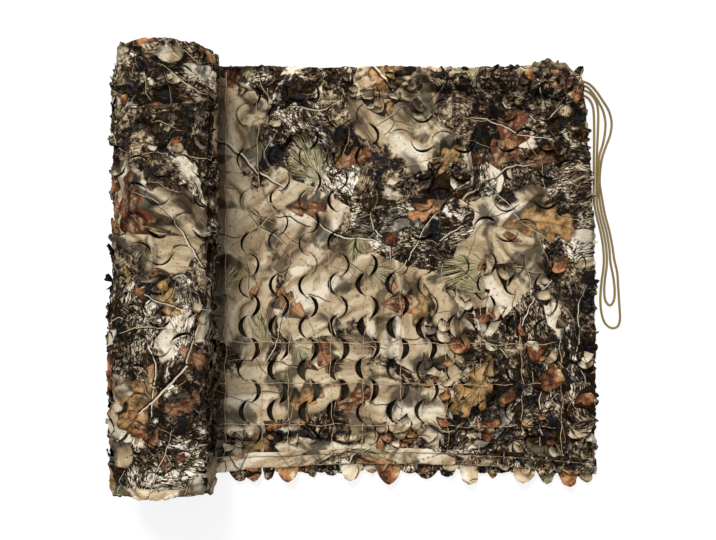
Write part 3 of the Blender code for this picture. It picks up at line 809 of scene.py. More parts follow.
def roll_cuts():
    """Leaf cuts of the outermost turn: slits all round it, closed where it rests."""
    dice = random.Random(ROLL_CUT_SEED)
    for row in range(ROLL_CUT_ROWS):
        for column in range(-ROLL_CUT_COLUMNS // 2, ROLL_CUT_COLUMNS // 2):
            s = 0.012 + CUT_PITCH_Y * row + stray(dice, SLIT_JITTER)
            y = CUT_PITCH_X * (column + 0.5) * 0.93 + stray(dice, SLIT_JITTER)
            angle = roll_angle(s)
            flank = max(0.0, -math.cos(angle)) * eased((math.sin(angle) + 0.7) / 0.4)
            gap = dice.choice(ROLL_CUT_GAPS)
            lift = dice.uniform(-0.001, 0.006) + flank * dice.choice(ROLL_CUT_LIFTS)
            if flank > 0.6:
                gap *= 0.5
            if math.sin(angle) < -0.72:
                gap, lift = 0.001, 0.0
            turn = math.pi / 2 + math.pi * (row % 2) + dice.uniform(-0.3, 0.3)
            half = SLIT_HALF_ANGLE * dice.uniform(0.8, 1.0)
            if 0.022 < s < TURN_LENGTH - 0.030 and abs(y) < ROLL_HALF_LENGTH - 0.030:
                yield LeafCut(s, y, turn, half, gap, lift, dice.uniform(-1.2, 1.2))


def roll_place(s, y, lift):
    """Where a place of the outermost turn lies."""
    angle = roll_angle(s)
    half_width, half_height = roll_radii(angle, y)
    above = eased((math.sin(angle) + 0.9) / 0.5)
    end = eased((abs(y) - ROLL_HALF_LENGTH + 0.022) / 0.022)
    hem = 0.0016 * bell(y, ROLL_SEAM_Y - 0.010, 0.006) - 0.0028 * bell(y, ROLL_SEAM_Y, 0.0022)
    out = lift + roll_crumple(s, y) * above + hem - 0.003 * end - 0.0004
    out -= 0.0045 * in_trough(angle, y, 0.50, 0.075) + flank_dent(angle, y)
    x = ROLL_X + (half_width + out) * math.cos(angle)
    z = ROLL_AXIS_Z + (half_height + out) * math.sin(angle)
    return Vector((x, y, max(z, CLOTH + 0.0002)))


def roll_shade(s, y):
    """The outermost turn's painted shade: low on its flanks, in its right trough and in its end's seam, and
    below 0 as a painted highlight on the hem strip beyond that seam.
    """
    angle = roll_angle(s)
    low = max(0.75 * eased((0.35 - math.sin(angle)) / 0.6), 0.24 * eased((-0.30 - math.cos(angle)) / 0.4))
    if math.cos(angle) > 0:
        low = max(low, 0.62 * eased((0.68 - math.sin(angle)) / 0.35) * eased((0.04 - y) / 0.10))
    # A painted highlight on the hem strip beyond the seam.
    if y < ROLL_SEAM_Y - 0.0035:
        return low - 0.35
    return max(low, 0.6 * in_trough(angle, y, 0.48, 0.06), 0.7 * bell(y, ROLL_SEAM_Y, 0.002))


def make_outer_turn():
    """The outermost turn of the roll."""
    length = TURN_LENGTH - 0.004

    def ragged(s, seed):
        """How far an end sticks out and draws in by turns."""
        return 0.004 * lump(s, 0.0, 0.0, 0.030, seed) + 0.0036 * lump(s, 0.0, 0.0, 0.0075, seed)

    def short(s):
        """How far the far end draws in down both flanks."""
        side, top = math.cos(roll_angle(s)), math.sin(roll_angle(s)) > 0
        out = 0.0045 * bell(side, 0.15, 0.38) * top
        return 0.010 * eased((side - 0.70) / 0.28) + 0.013 * eased((-side - 0.86) / 0.08) - out

    def near(s):
        """How far the near end draws in beside the top, and hangs out down the right flank."""
        angle = wrapped(roll_angle(s))
        return 0.0085 * bell(angle, 0.92, 0.30) - 0.007 * bell(angle, 0.0, 0.35)

    rows, y = [], -ROLL_HALF_LENGTH - 0.014
    while y < ROLL_HALF_LENGTH + 0.012:
        rows.append((y, FINE_STEP))
        y += FINE_STEP * ROW_SHARE
    rows.append((ROLL_HALF_LENGTH + 0.012, FINE_STEP))
    cuts = list(roll_cuts())
    bm = slit_cloth(
        lambda t: 0.0, lambda t: length,
        lambda s: -ROLL_HALF_LENGTH + ragged(s, 4.4) + near(s),
        lambda s: ROLL_HALF_LENGTH + ragged(s, 8.1) - short(s), rows, cuts)
    moves = flap_moves(bm, cuts)
    wide = bake_place(-0.39, 0.39, (0.0, 1.0))

    def shared(share):
        """A side's share of the bake map, as a function."""
        round_it = bake_place(0.0, length, share)
        return lambda s, y: (wide(y), round_it(s))

    made = laid_cloth(
        "roll_outer_turn", bm, "net_roll", roll_place, moves, (shared((0.20, 1.0)), shared((0.0, 0.20))),
        ROLL_PRINT, roll_shade, (PRINTED, BACK_WITH_PAINTED_SHADE, HEM))
    for face in made.data.polygons:
        hem_edge = ROLL_SEAM_Y - 0.004 + 0.0012 * lump(face.center.x, 0.0, 0.0, 0.02, 8.8)
        if face.center.y < hem_edge and not face.material_index:
            face.material_index = 2
    return made


# The turns inside: how many, how far apart, and where along the roll their rows of points lie.
WOUND_TURNS = 8
WOUND_PITCH = 0.0094
WOUND_STEPS = 66  # to a turn
WOUND_SECTION = (-1.0, -0.985, -0.96, -0.9, -0.6, 0.0, 0.6, 0.93, 0.975, 1.0)


def wound_place(turn, row):
    """Where a row of the folded strip lies after that many turns inwards."""
    count = len(WOUND_SECTION)
    inner = row >= count
    share = WOUND_SECTION[row] if not inner else WOUND_SECTION[2 * count - 1 - row]
    angle = -math.pi / 2 - 2 * math.pi * turn + 0.35
    deep = 0.0045 + WOUND_PITCH * turn + (0.0036 if inner else 0.0)
    wobble = 0.0013 * noise.noise(Vector((math.cos(angle) * 2.2, math.sin(angle) * 2.2, turn * 0.8 + 3)))
    deep += wobble * min(1.0, turn + 0.2)
    deep += flank_dent(angle, share * ROLL_HALF_LENGTH) * math.exp(-deep / 0.022)
    shrink = 1 - deep / ROLL_HALF_WIDTH
    half_width, half_height = roll_radii(angle, share * ROLL_HALF_LENGTH)
    reach = ROLL_HALF_LENGTH - 0.004 - 0.004 * (turn / WOUND_TURNS)
    key = Vector((turn * 2.6, 5.5 if inner else 1.5, 0.0))
    ragged = 0.0055 * noise.noise(key) + 0.003 * noise.noise(key * 3.3)
    if share < 0:
        scallop = abs(math.sin(turn * (9.0 - turn * 0.45) + (1.1 if inner else 0.0)))
        ragged += 0.006 * scallop ** 0.6 - 0.004
    y = share * reach + math.copysign(ragged * abs(share) ** 30, share)
    x = ROLL_X + half_width * shrink * math.cos(angle)
    z = ROLL_AXIS_Z + half_height * shrink * math.sin(angle)
    return Vector((x, y, max(z, 0.0021 + 0.001 * inner)))


def make_wound_turns():
    """The turns inside the roll, one folded strip wound round and round."""
    rows = 2 * len(WOUND_SECTION)
    columns = WOUND_TURNS * WOUND_STEPS
    bm = bmesh.new()
    bmesh.ops.create_grid(bm, x_segments=columns, y_segments=rows - 1, size=0.5)
    uv, = new_maps(bm, "Cloth")
    at = {}
    for vert in bm.verts:
        turn = (vert.co.x + 0.5) * WOUND_TURNS
        row = round((vert.co.y + 0.5) * (rows - 1))
        across = WOUND_SECTION[row] if row < rows // 2 else 1.9 - WOUND_SECTION[rows - 1 - row]
        at[vert] = (2.1 + turn * 0.42, across * ROLL_HALF_LENGTH)
        vert.co = wound_place(turn, row)
    for face in bm.faces:
        for loop in face.loops:
            loop[uv].uv = at[loop.vert]
    made = finished_piece("roll_inner_turns", bm, (PRINTED, BACK_WITH_PAINTED_SHADE), "net_roll", PRINTED_SLOT, 60)
    cloth_thick(made, 1)
    return made


# ---- hems

# The hem's section: share forward from its middle, height above its cloth in mm.
HEM_SECTION = (
    (1.00, 0.2), (1.03, 1.4), (0.98, 2.6), (0.86, 3.2), (0.62, 3.5), (0.36, 3.8), (0.10, 3.9),
    (-0.14, 3.7), (-0.34, 3.3), (-0.46, 2.6), (-0.52, 1.5), (-0.57, 2.4), (-0.66, 3.4),
    (-0.82, 3.8), (-0.98, 3.6), (-1.12, 2.8), (-1.17, 1.6), (-1.12, 0.3), (-0.95, -0.7),
    (0.0, -0.9), (0.90, -0.6), (1.00, 0.2),
)
HEM_GROOVE = 10  # the point of it that lies deepest between its two ridges
HEM_STEPS = 400  # along it


def puckers_at(x, forward):
    """Each pucker's depth, and how far from its middle a place of the hem lies in its half widths."""
    for middle, lean, depth, half in HEM_PUCKERS:
        yield depth, abs(1000 * x - middle + lean * forward) / half


def hem_place(x, forward, high):
    """A place on the hem, which is wavy and puckered."""
    wide = 1 + 0.10 * lump(x, 0.0, 0.0, 0.05, 7.1) * (forward < 0)
    y = hem_y(x) - forward * wide * HEM_HALF
    y += 0.0022 * lump(x, 0.0, 0.0, 0.055, 3.8) + 0.0010 * lump(x, forward, 0.0, 0.014, 5.8)
    for depth, aside in puckers_at(x, forward):
        if high > 0.4 and aside < 4:
            high -= depth * bell(aside, 0.0, 1.0) - 0.4 * bell(aside, 2.2, 1.0)
    if high > 0.4:
        high += 0.9 * lump(x, forward * 0.3, 0.0, 0.012, 6.6) + 1.3 * lump(x, 0.0, 0.0, 0.040, 1.6)
    base = UPPER_Z + relief(x, hem_y(x)) + 0.5 * crumple(x, hem_y(x))
    return Vector((x, y, max(0.0030, base + high / 1000 * 1.1)))


def pucker_shade(x, row):
    """The hem's painted shade in its puckers and its groove."""
    dark = 0.75 if row == HEM_GROOVE else 0.0
    for depth, aside in puckers_at(x, HEM_SECTION[row][0]):
        dark = max(dark, min(0.8, depth / 2.4) * bell(aside, 0.0, 1.0))
    return dark


def make_front_hem():
    """The front hem: the cloth's edge turned over twice and sewn down."""
    left, rows = loose_left(HEM_Y) + 0.001, len(HEM_SECTION)
    bm = bmesh.new()
    bmesh.ops.create_grid(bm, x_segments=HEM_STEPS, y_segments=rows - 1, size=0.5)
    cloth, fold = new_maps(bm, "Cloth", "Fold")
    flat = {}
    for vert in bm.verts:
        row = round((vert.co.y + 0.5) * (rows - 1))
        forward, high = HEM_SECTION[row]
        edge = side_x(hem_y(0.42)) + 0.0012 + 0.0012 * lump(forward, 0.0, 0.0, 0.7, 2.9)
        x = left + (edge - left) * (vert.co.x + 0.5)
        flat[vert] = (x - 1.40, row * 0.0032 - 0.91, pucker_shade(x, row))
        vert.co = hem_place(x, forward, high)
    for face in bm.faces:
        middle = face.calc_center_median()
        face.material_index = middle.x > 0.19 + 0.03 * lump(middle.x, middle.y, 0.0, 0.02, 1.4)
        keep_flat(face, cloth, fold, flat)
    bmesh.ops.remove_doubles(bm, verts=bm.verts[:], dist=1e-6)
    bmesh.ops.recalc_face_normals(bm, faces=bm.faces[:])
    return finished_piece("front_hem", bm, (HEM, PRINTED), "net_loose_end", PRINTED_SLOT, 40)


STITCH_ROWS = ((-0.44, 3.1), (0.84, 3.5))  # places in the hem's section
STITCH_POINTS = ((0.0, -0.0006), (0.0011, 0.0004), (0.0022, -0.0006))
STITCH_PITCH = 0.0036
STITCH_RADIUS = 0.00042


def make_hem_stitches():
    """The thread that sews the hem down, in two rows of short stitches."""
    bm = bmesh.new()
    for forward, high in STITCH_ROWS:
        x = loose_left(HEM_Y) + 0.004
        while x < 0.412:
            path = [hem_place(x + at, forward, high) for at, _ in STITCH_POINTS]
            for point, (_, above) in zip(path, STITCH_POINTS):
                point.z += above
            tube(bm, path, STITCH_RADIUS, 4)
            x += STITCH_PITCH
    bmesh.ops.recalc_face_normals(bm, faces=bm.faces[:])
    return finished_piece("hem_stitches", bm, (THREAD,), "net_loose_end", CORD_SLOT, 60)


LEAF_FINISHES = (PRINTED, AUTUMN, HEM, BACK_WITH_PAINTED_SHADE)  # by their numbers


def leaf_mesh():
    """An empty mesh for leaf-shaped flaps, with their maps."""
    bm = bmesh.new()
    new_maps(bm, "Cloth", "Fold")
    return bm


def leaf_grid(bm, steps, spot, index, at, dim=0.0, side=0.0):
    """One leaf-shaped flap: a grid whose places come from its shares across and along.

    spot is its place on the print and index its finish's number. dim is the strength of the painted shade
    at its root and down one side, and of a painted highlight on the bend behind its tip.
    """
    cloth, fold = (bm.loops.layers.uv[layer] for layer in ("Cloth", "Fold"))
    grid = bmesh.ops.create_grid(bm, x_segments=steps, y_segments=steps, size=1.0)
    flat = {}
    for vert in grid["verts"]:
        across, along = vert.co.x, (1 - vert.co.y) / 2
        dark = (1 - along) ** 2 + 0.5 * max(0.0, across * side) ** 2
        light = 0.40 * bell(along, 0.66 + 0.12 * across * side, 0.17)
        vert.co = at(across, along)
        flat[vert] = (vert.co.x + spot[0], vert.co.y + spot[1], dim * min(1.0, dark) - dim * light)
    for face in {face for vert in grid["verts"] for face in vert.link_faces}:
        face.material_index = index
        keep_flat(face, cloth, fold, flat)


def leaf_pieces(name, bm, node):
    """The finished piece of many leaf-shaped flaps."""
    made = finished_piece(name, bm, LEAF_FINISHES, node, PRINTED_SLOT, 60)
    cloth_thick(made)
    return made


def more_tongues(dice):
    """The solid's tongues and shallower, wider ones that fill in between."""
    x = TONGUES_FROM_X
    while x < TONGUES_TO_X:
        yield Tongue(
            x, dice.uniform(26, 44), dice.uniform(355, 364), dice.choice((UPPER, UNDER)),
            int(dice.random() < AUTUMN_SHARE))
        x += dice.uniform(18, 30)
    yield Tongue(TONGUES_FROM_X, 34, 376, UNDER)
    yield from TONGUES


def make_tongues():
    """The leaf-shaped tongues that stick out from under the hem, each curled its own way."""
    dice = random.Random(31)
    bm = leaf_mesh()
    for tongue in more_tongues(dice):
        upper = tongue.layer == UPPER
        curl, lean, side = dice.uniform(-0.002, 0.010), dice.uniform(-0.006, 0.006), dice.uniform(-1, 1)
        blunt, key, cup = dice.uniform(2.0, 4.5), dice.uniform(0, 50), dice.uniform(0.001, 0.006)

        def at(across, along):
            """A place of the tongue between its root and its tip."""
            narrowed = (1.002 - along ** blunt) ** 0.5 * (1 + 0.10 * math.sin(8 * along + key))
            narrowed *= 1 + 0.13 * lump(along, across * 2, 0.0, 0.22, key)
            x = (tongue.x + tongue.wide / 2 * across * narrowed) / 1000 + lean * along * along
            root_y = (hem_y(x) + 0.002) if upper else UNDER_FRONT_Y + 0.006
            tip = tongue.reach / 1000 - 0.0025 * max(0.0, lump(across, 0.0, 0.0, 0.5, key + 9))
            y = root_y + (-tip - root_y) * along
            root_z = UPPER_Z + relief(x, root_y) if upper else UNDER_Z + 0.0004
            z = root_z + ((0.0045 if upper else 0.0012) - root_z) * along
            z += curl * along ** 2 * (upper + 0.25) + 0.0024 * across * side * along
            z += cup * across * across * along + 0.0009 * lump(x, y, 0.0, 0.010, 2.2)
            return Vector((x, y, max(z, 0.0007)))

        spot = (dice.uniform(0, 3), dice.uniform(3, 5))
        leaf_grid(bm, 11, spot, tongue.finish, at, dice.uniform(0.3, 0.8), side)
    return leaf_pieces("hem_tongues", bm, "net_loose_end")


# Where flaps of the cut cloth stand up, in mm: the corners of each stretch, how many, the way they
# point in degrees and how far they stray from it, their least and greatest width, and their height.
SHAGGY = (
    ((-232, -306), (120, -270), 20, -90, 70, (14, 27), 8.0),
    ((120, -312), (412, -255), 32, -70, 90, (14, 30), 9.0),
    ((230, -352), (412, -318), 16, -70, 90, (14, 28), 8.0),
    ((-40, 290), (300, 356), 32, -90, 90, (14, 30), 7.5),
    ((300, 285), (392, 362), 14, -60, 90, (20, 36), 10.0),
    ((110, -255), (408, -30), 40, -60, 110, (18, 34), 8.5),
    ((60, -30), (400, 250), 14, -80, 120, (16, 28), 5.0),
    ((-225, 250), (-40, 352), 12, -90, 100, (14, 26), 5.5),
)
SHAGGY_BACK = 353  # none stands behind it
CREASE_CLEAR = 13  # one that is nearer to the longest sharp crease
PAST_CREASE = 30  # goes that far back
# Single large flaps, in mm and degrees: root, turn, width, length, height and number of the finish.
LARGE_FLAPS = (
    (384, 330, -95, 34, 44, 4.0, 1), (350, 348, -75, 46, 46, 9.0, 1), (322, -184, -35, 56, 58, 13.0, 1),
    (316, -126, -95, 36, 50, 8.0, 1), (398, -246, 82, 30, 40, 5.0, 1), (392, -270, -80, 50, 38, 8.0, 2),
    (262, 12, -85, 34, 42, 9.0, 0), (172, -118, -60, 38, 46, 8.0, 1), (-150, -266, -85, 34, 26, 7.0, 1),
    (70, -268, -50, 40, 30, 8.0, 0), (390, 349, 62, 15, 15, 5.0, 0), (334, 356, 85, 30, 17, 6.0, 0),
    (224, -66, -80, 36, 40, 8.0, 1), (360, 24, -100, 34, 44, 6.0, 1),
)
# Frayed bits along the loose end's edges: length and height.
FRAYED_LONG = (0.004, 0.011)
FRAYED_RISE = 0.002


def cloth_height(x, y):
    """The top of the loose end at a place."""
    return loose_place(x, min(y, turn_over_y(x)), 0.0).z


def make_loose_flaps():
    """Flaps of the loose end's cut cloth that stand up and curl, and the frayed bits along its edges."""
    dice = random.Random(77)
    bm = leaf_mesh()

    def flap(x, y, turn, wide, long, rise, finish=0):
        """One flap from its root and, under a high one, a dark sheet of the back's finish just above the
        cloth: painted shade for the gap that it leaves.
        """
        blunt, key = dice.uniform(1.4, 3.6), dice.uniform(0, 50)
        lean, curl, cup = dice.uniform(-0.3, 0.3), dice.uniform(0.8, 2.4), dice.uniform(-0.5, 0.6)

        def laid(across, along, short, high):
            """A place of the flap that high above the cloth, its length drawn in to a share of it."""
            narrowed = (1.012 - along ** blunt) ** (0.6 + 0.012 * key)
            narrowed *= 1 + 0.20 * lump(along, across, 0.0, 0.24, key)
            aside = wide / 2 * across * narrowed + lean * long * along * along
            px, py = turned(along * long * short, aside, turn, (x, y))
            base = cloth_height(px, py) if px < side_x(py) - 0.002 else UPPER_Z
            return Vector((px, py, base + high))

        def curled(across, along):
            """A place of the flap as it stands up and curls."""
            high = rise * along ** curl * (1 + cup * across) + 0.3 * rise * across * across * along
            return laid(across, along, 1 - 0.30 * along * min(1.0, rise / 0.006), high + 0.0014 * along)

        own = finish == 0 and dice.random() < 0.8
        spot = LOOSE_PRINT if own else (dice.uniform(0, 3), dice.uniform(-3, -1))
        dim = min(0.9, 0.25 + rise * 75) * dice.uniform(0.7, 1.1)
        leaf_grid(bm, 7 if wide < 0.034 else 12, spot, finish, curled, dim, dice.choice((-1, 1)))
        # A dark sheet under a high flap: painted shade for the gap beneath it.
        if rise > 0.0025:
            gap = LEAF_FINISHES.index(BACK_WITH_PAINTED_SHADE)
            leaf_grid(bm, 6, (0.0, 0.0), gap, lambda across, along: laid(across, along, 1.08, 0.0005))

    for (left, front), (right, back), count, turn, swing, widths, rise in SHAGGY:
        for _ in range(count):
            wide = dice.uniform(*widths) / 1000
            x, y = dice.uniform(left, right), dice.uniform(front, back)
            if past_line(CREASES[0].points, x, y)[0] < CREASE_CLEAR:
                y += PAST_CREASE
            if y > SHAGGY_BACK:
                continue
            flap(
                x / 1000, y / 1000, math.radians(turn + dice.uniform(-swing, swing)),
                wide, wide * dice.uniform(0.6, 1.2), rise / 1000 * dice.uniform(0.25, 1.2),
                dice.choice((0, 0, 0, 0, 0, 0, 1, 2)))
    for x, y, turn, wide, long, rise, finish in LARGE_FLAPS:
        flap(x / 1000, y / 1000, math.radians(turn), wide / 1000, long / 1000, rise / 1000, finish)
    y = -0.325
    while y < 0.33:
        wide = dice.uniform(0.006, 0.015)
        flap(side_x(y) - 0.004, y, stray(dice, 1.0), wide, dice.uniform(*FRAYED_LONG), FRAYED_RISE)
        y += dice.uniform(0.006, 0.026)
    x = -0.225
    while x < 0.37:
        wide = dice.uniform(0.006, 0.022)
        root_y = fold_y(x) - (0.006 if x > 0.1 else 0.009)
        flap(x, root_y, 1.57 + dice.uniform(-0.9, 0.9), wide, dice.uniform(*FRAYED_LONG), FRAYED_RISE)
        x += dice.choice((0.008, 0.016, 0.030, 0.055))
    return leaf_pieces("loose_flaps", bm, "net_loose_end")


# Scattered flaps of the roll, in metres: how many, their stretch round it and along it, their widths, the
# most that one is long for its width, their heights, and the finishes they are picked from.
ROLL_SCATTER = (
    (62, (0.095, 0.165), (-0.352, 0.345), (0.006, 0.019), 1.5, (0.001, 0.0085), ()),
    (22, (0.17, 0.37), (-0.34, 0.33), (0.014, 0.026), 1.1, (0.002, 0.005), (0, 0, 1, 2)),
)
# Single flaps of the roll, in metres and radians: place round it and along it, then as the loose end's.
ROLL_FLAPS = (
    (0.290, 0.366, -1.5, 0.044, 0.030, 0.009, 2), (0.238, 0.366, -1.7, 0.024, 0.020, 0.006, 2),
    (0.176, -0.128, -1.9, 0.050, 0.052, 0.003, 1), (0.166, -0.185, -2.4, 0.036, 0.040, 0.003, 1),
    (0.196, 0.150, -2.9, 0.030, 0.050, 0.003, 1), (0.205, -0.290, -1.2, 0.046, 0.038, 0.006, 2),
)


def make_roll_flaps():
    """Frayed bits of the roll's outermost turn, on its flanks and a few on its top."""
    dice = random.Random(41)
    bm = leaf_mesh()

    def flap(s, y, turn, wide, long, rise, finish=0):
        """One flap from its root."""
        blunt, lean, curl = dice.uniform(1.2, 2.6), dice.uniform(-0.4, 0.4), dice.uniform(0.8, 1.8)

        def at(across, along):
            """A place of the flap over the roll."""
            narrowed = (1.003 - along ** blunt) ** 0.5
            aside = wide / 2 * across * narrowed + lean * long * along * along
            high = 0.0008 + rise * along ** curl + 0.2 * rise * across * across * along
            return roll_place(*turned(along * long, aside, turn, (s, y)), high)

        leaf_grid(bm, 6, (dice.uniform(0, 3), dice.uniform(1, 3)), finish, at, 0.6, dice.choice((-1, 1)))

    for count, around, lengthwise, widths, longest, heights, finishes in ROLL_SCATTER:
        for _ in range(count):
            wide = dice.uniform(*widths)
            flap(
                dice.uniform(*around), dice.uniform(*lengthwise), dice.uniform(-math.pi, math.pi),
                wide, wide * dice.uniform(0.7, longest), dice.uniform(*heights),
                dice.choice(finishes) if finishes else 0)
    for row in ROLL_FLAPS:
        flap(*row)
    return leaf_pieces("roll_flaps", bm, "net_roll")


# ---- threads

THREADS_ACROSS = (-0.1277, -0.2000, -0.2732)
THREADS_DOWN = (
    (-0.2330, 0.350), (-0.1790, 0.300), (-0.1205, 0.060), (-0.0510, 0.030), (0.0120, 0.010),
    (0.0770, 0.000), (0.1500, 0.010), (0.2180, -0.030), (0.2880, -0.060), (0.3600, -0.120),
)
THREAD_RADIUS = 0.0005
THREAD_LIFT = 0.0022
THREAD_STEP = 0.006
THREAD_WAVE = 0.006
THREAD_KNOT = 2.2  # a knot's width for the thread's


def thread_height(x, y):
    """Where a thread lies on the crumpled cloth."""
    return UPPER_Z + relief(x, y) + crumple(x, y) + THREAD_LIFT


def sides_at(path, i):
    """Two directions square to a path at one of its points."""
    ahead = path[min(i + 1, len(path) - 1)] - path[max(i - 1, 0)]
    side = ahead.cross(Vector((0, 0, 1))).normalized()
    return side, side.cross(ahead).normalized()


def tube(bm, path, radius, sides=5):
    """A closed tube along a path, its ends shut."""
    rings = []
    for i, point in enumerate(path):
        side, up = sides_at(path, i)
        ring = bmesh.ops.create_circle(bm, segments=sides, radius=radius)["verts"]
        for j, vert in enumerate(ring):
            turn = 2 * math.pi * j / sides
            vert.co = point + radius * (math.cos(turn) * side + math.sin(turn) * up)
        rings.append(ring)
    for a, b in zip(rings, rings[1:]):
        for j in range(sides):
            k = (j + 1) % sides
            bm.faces.new((a[j], a[k], b[k], b[j]))
    for ring in (rings[0], rings[-1]):
        bm.faces.new(ring)


def make_threads():
    """The net of knotted threads that lies over the loose end."""
    dice = random.Random(8)
    bm = bmesh.new()

    def run(start, end, seed):
        """One slightly wavy thread."""
        count = max(8, round((end - start).length / THREAD_STEP))
        aside = Vector((-(end - start).y, (end - start).x)).normalized()
        path = []
        for i in range(count + 1):
            flat = start.lerp(end, i / count)
            flat += aside * THREAD_WAVE * lump(i * THREAD_STEP, 0.0, 0.0, 0.032, seed)
            path.append(Vector((*flat, thread_height(*flat))))
        tube(bm, path, THREAD_RADIUS)

    for number, y in enumerate(THREADS_ACROSS):
        run(Vector((-0.244, y)), Vector((0.35, y - 0.004)), 3.0 + number)
    for number, (x, top) in enumerate(THREADS_DOWN):
        slant = dice.uniform(-0.006, 0.010)
        run(Vector((x, top)), Vector((x + slant, hem_y(x) + HEM_HALF)), 9.0 + number)
        for y in THREADS_ACROSS:
            knot = Vector((x + slant * (top - y) / (top - hem_y(x)), y, 0.0))
            knot.z = thread_height(knot.x, knot.y)
            ball = bmesh.ops.create_icosphere(bm, subdivisions=1, radius=THREAD_RADIUS * THREAD_KNOT)
            bmesh.ops.translate(bm, verts=ball["verts"], vec=knot)
    bmesh.ops.recalc_face_normals(bm, faces=bm.faces[:])
    return finished_piece("grid_threads", bm, (THREAD,), "net_loose_end", CORD_SLOT, 60)


# ---- tie cords

CORD_STEP = 0.006  # between the points that say where a cord lies
BRAID_SIDES = 12
BRAID_STEP = 0.0009
BRAID_PITCH = 0.0062
BRAID_ROUND = 0.014  # once round the cord


def smooth_curve(points):
    """Close points on a Catmull-Rom curve through a route's own points, in metres."""
    own = [Vector(p) / 1000 for p in points]
    own = [2 * own[0] - own[1], *own, 2 * own[-1] - own[-2]]
    fine = []
    for a, b, c, d in zip(own, own[1:], own[2:], own[3:]):
        for i in range(CURVE_STEPS):
            t = i / CURVE_STEPS
            bend = (2 * a - 5 * b + 4 * c - d) * t * t + (3 * b - a - 3 * c + d) * t ** 3
            fine.append(b + ((c - a) * t + bend) / 2)
    fine.append(own[-2])
    return fine


def path_length(path):
    """How long a path is, from point to point."""
    return sum((b - a).length for a, b in zip(path, path[1:]))


def even_path(path, step):
    """The same path with points a step apart."""
    lengths = [0.0]
    for a, b in zip(path, path[1:]):
        lengths.append(lengths[-1] + (b - a).length)
    count = round(lengths[-1] / step)
    even, j = [], 0
    for i in range(count + 1):
        at = lengths[-1] * i / count
        while j < len(path) - 2 and lengths[j + 1] < at:
            j += 1
        share = (at - lengths[j]) / (lengths[j + 1] - lengths[j])
        even.append(path[j].lerp(path[j + 1], min(1.0, share)))
    return even


def make_cord(name, node, points):
    """A braided tie cord that lies on the ground in a long hairpin."""
    path = even_path(smooth_curve(points), BRAID_STEP)
    rows = len(path)
    bm = bmesh.new()
    bmesh.ops.create_grid(bm, x_segments=rows - 1, y_segments=BRAID_SIDES, size=0.5)
    uv, = new_maps(bm, "Cloth")
    for face in bm.faces:
        for loop in face.loops:
            co = loop.vert.co
            loop[uv].uv = ((co.x + 0.5) * (rows - 1) * BRAID_STEP, (co.y + 0.5) * BRAID_ROUND)
    for vert in bm.verts:
        i = round((vert.co.x + 0.5) * (rows - 1))
        turn = 2 * math.pi * (vert.co.y + 0.5)
        side, up = sides_at(path, i)
        along = i * BRAID_STEP * 2 * math.pi / BRAID_PITCH
        strands = math.sin(3 * turn + along) * math.sin(3 * turn - along)
        radius = CORD_DIAMETER / 2 * (0.94 + 0.07 * strands)
        vert.co = path[i] + radius * (math.cos(turn) * side + math.sin(turn) * up)
    bmesh.ops.remove_doubles(bm, verts=bm.verts[:], dist=1e-7)
    ends = [edge for edge in bm.edges if edge.is_boundary]
    bmesh.ops.holes_fill(bm, edges=ends)
    bmesh.ops.recalc_face_normals(bm, faces=bm.faces[:])
    made = finished_piece(name, bm, (CORD,), node, CORD_SLOT, 80)
    line = even_path(path, CORD_STEP)
    tuple(line[0])
    round(path_length(path), 3)
    [tuple(p) for p in line]
    return made


# ---- nodes

class Socket:
    """A node's output that takes part in sums and products."""

    def __init__(self, finish, socket):
        self.finish = finish
        self.socket = socket

    def maths(self, operation, *others):
        return self.finish.node("ShaderNodeMath", {"operation": operation}, (self, *others))

    def __add__(self, other):
        return self.maths("ADD", other)

    def __mul__(self, other):
        return self.maths("MULTIPLY", other)

    def __sub__(self, other):
        return self.maths("SUBTRACT", other)

    def __truediv__(self, other):
        return self.maths("DIVIDE", other)

    def __rsub__(self, other):
        return self * -1 + other

    def __pow__(self, other):
        return self.maths("POWER", other)

    __radd__ = __add__
    __rmul__ = __mul__

    def size(self):
        return self.maths("ABSOLUTE")

    def wave(self):
        return self.maths("SINE")

    def least(self, other):
        return self.maths("MINIMUM", other)

    def most(self, other):
        return self.maths("MAXIMUM", other)

    def ramp(self, low, high):
        """Runs smoothly from 0 to 1 as the value goes from low to high."""
        return self.finish.node(
            "ShaderNodeMapRange", {"interpolation_type": "SMOOTHSTEP"}, (self, low, high))


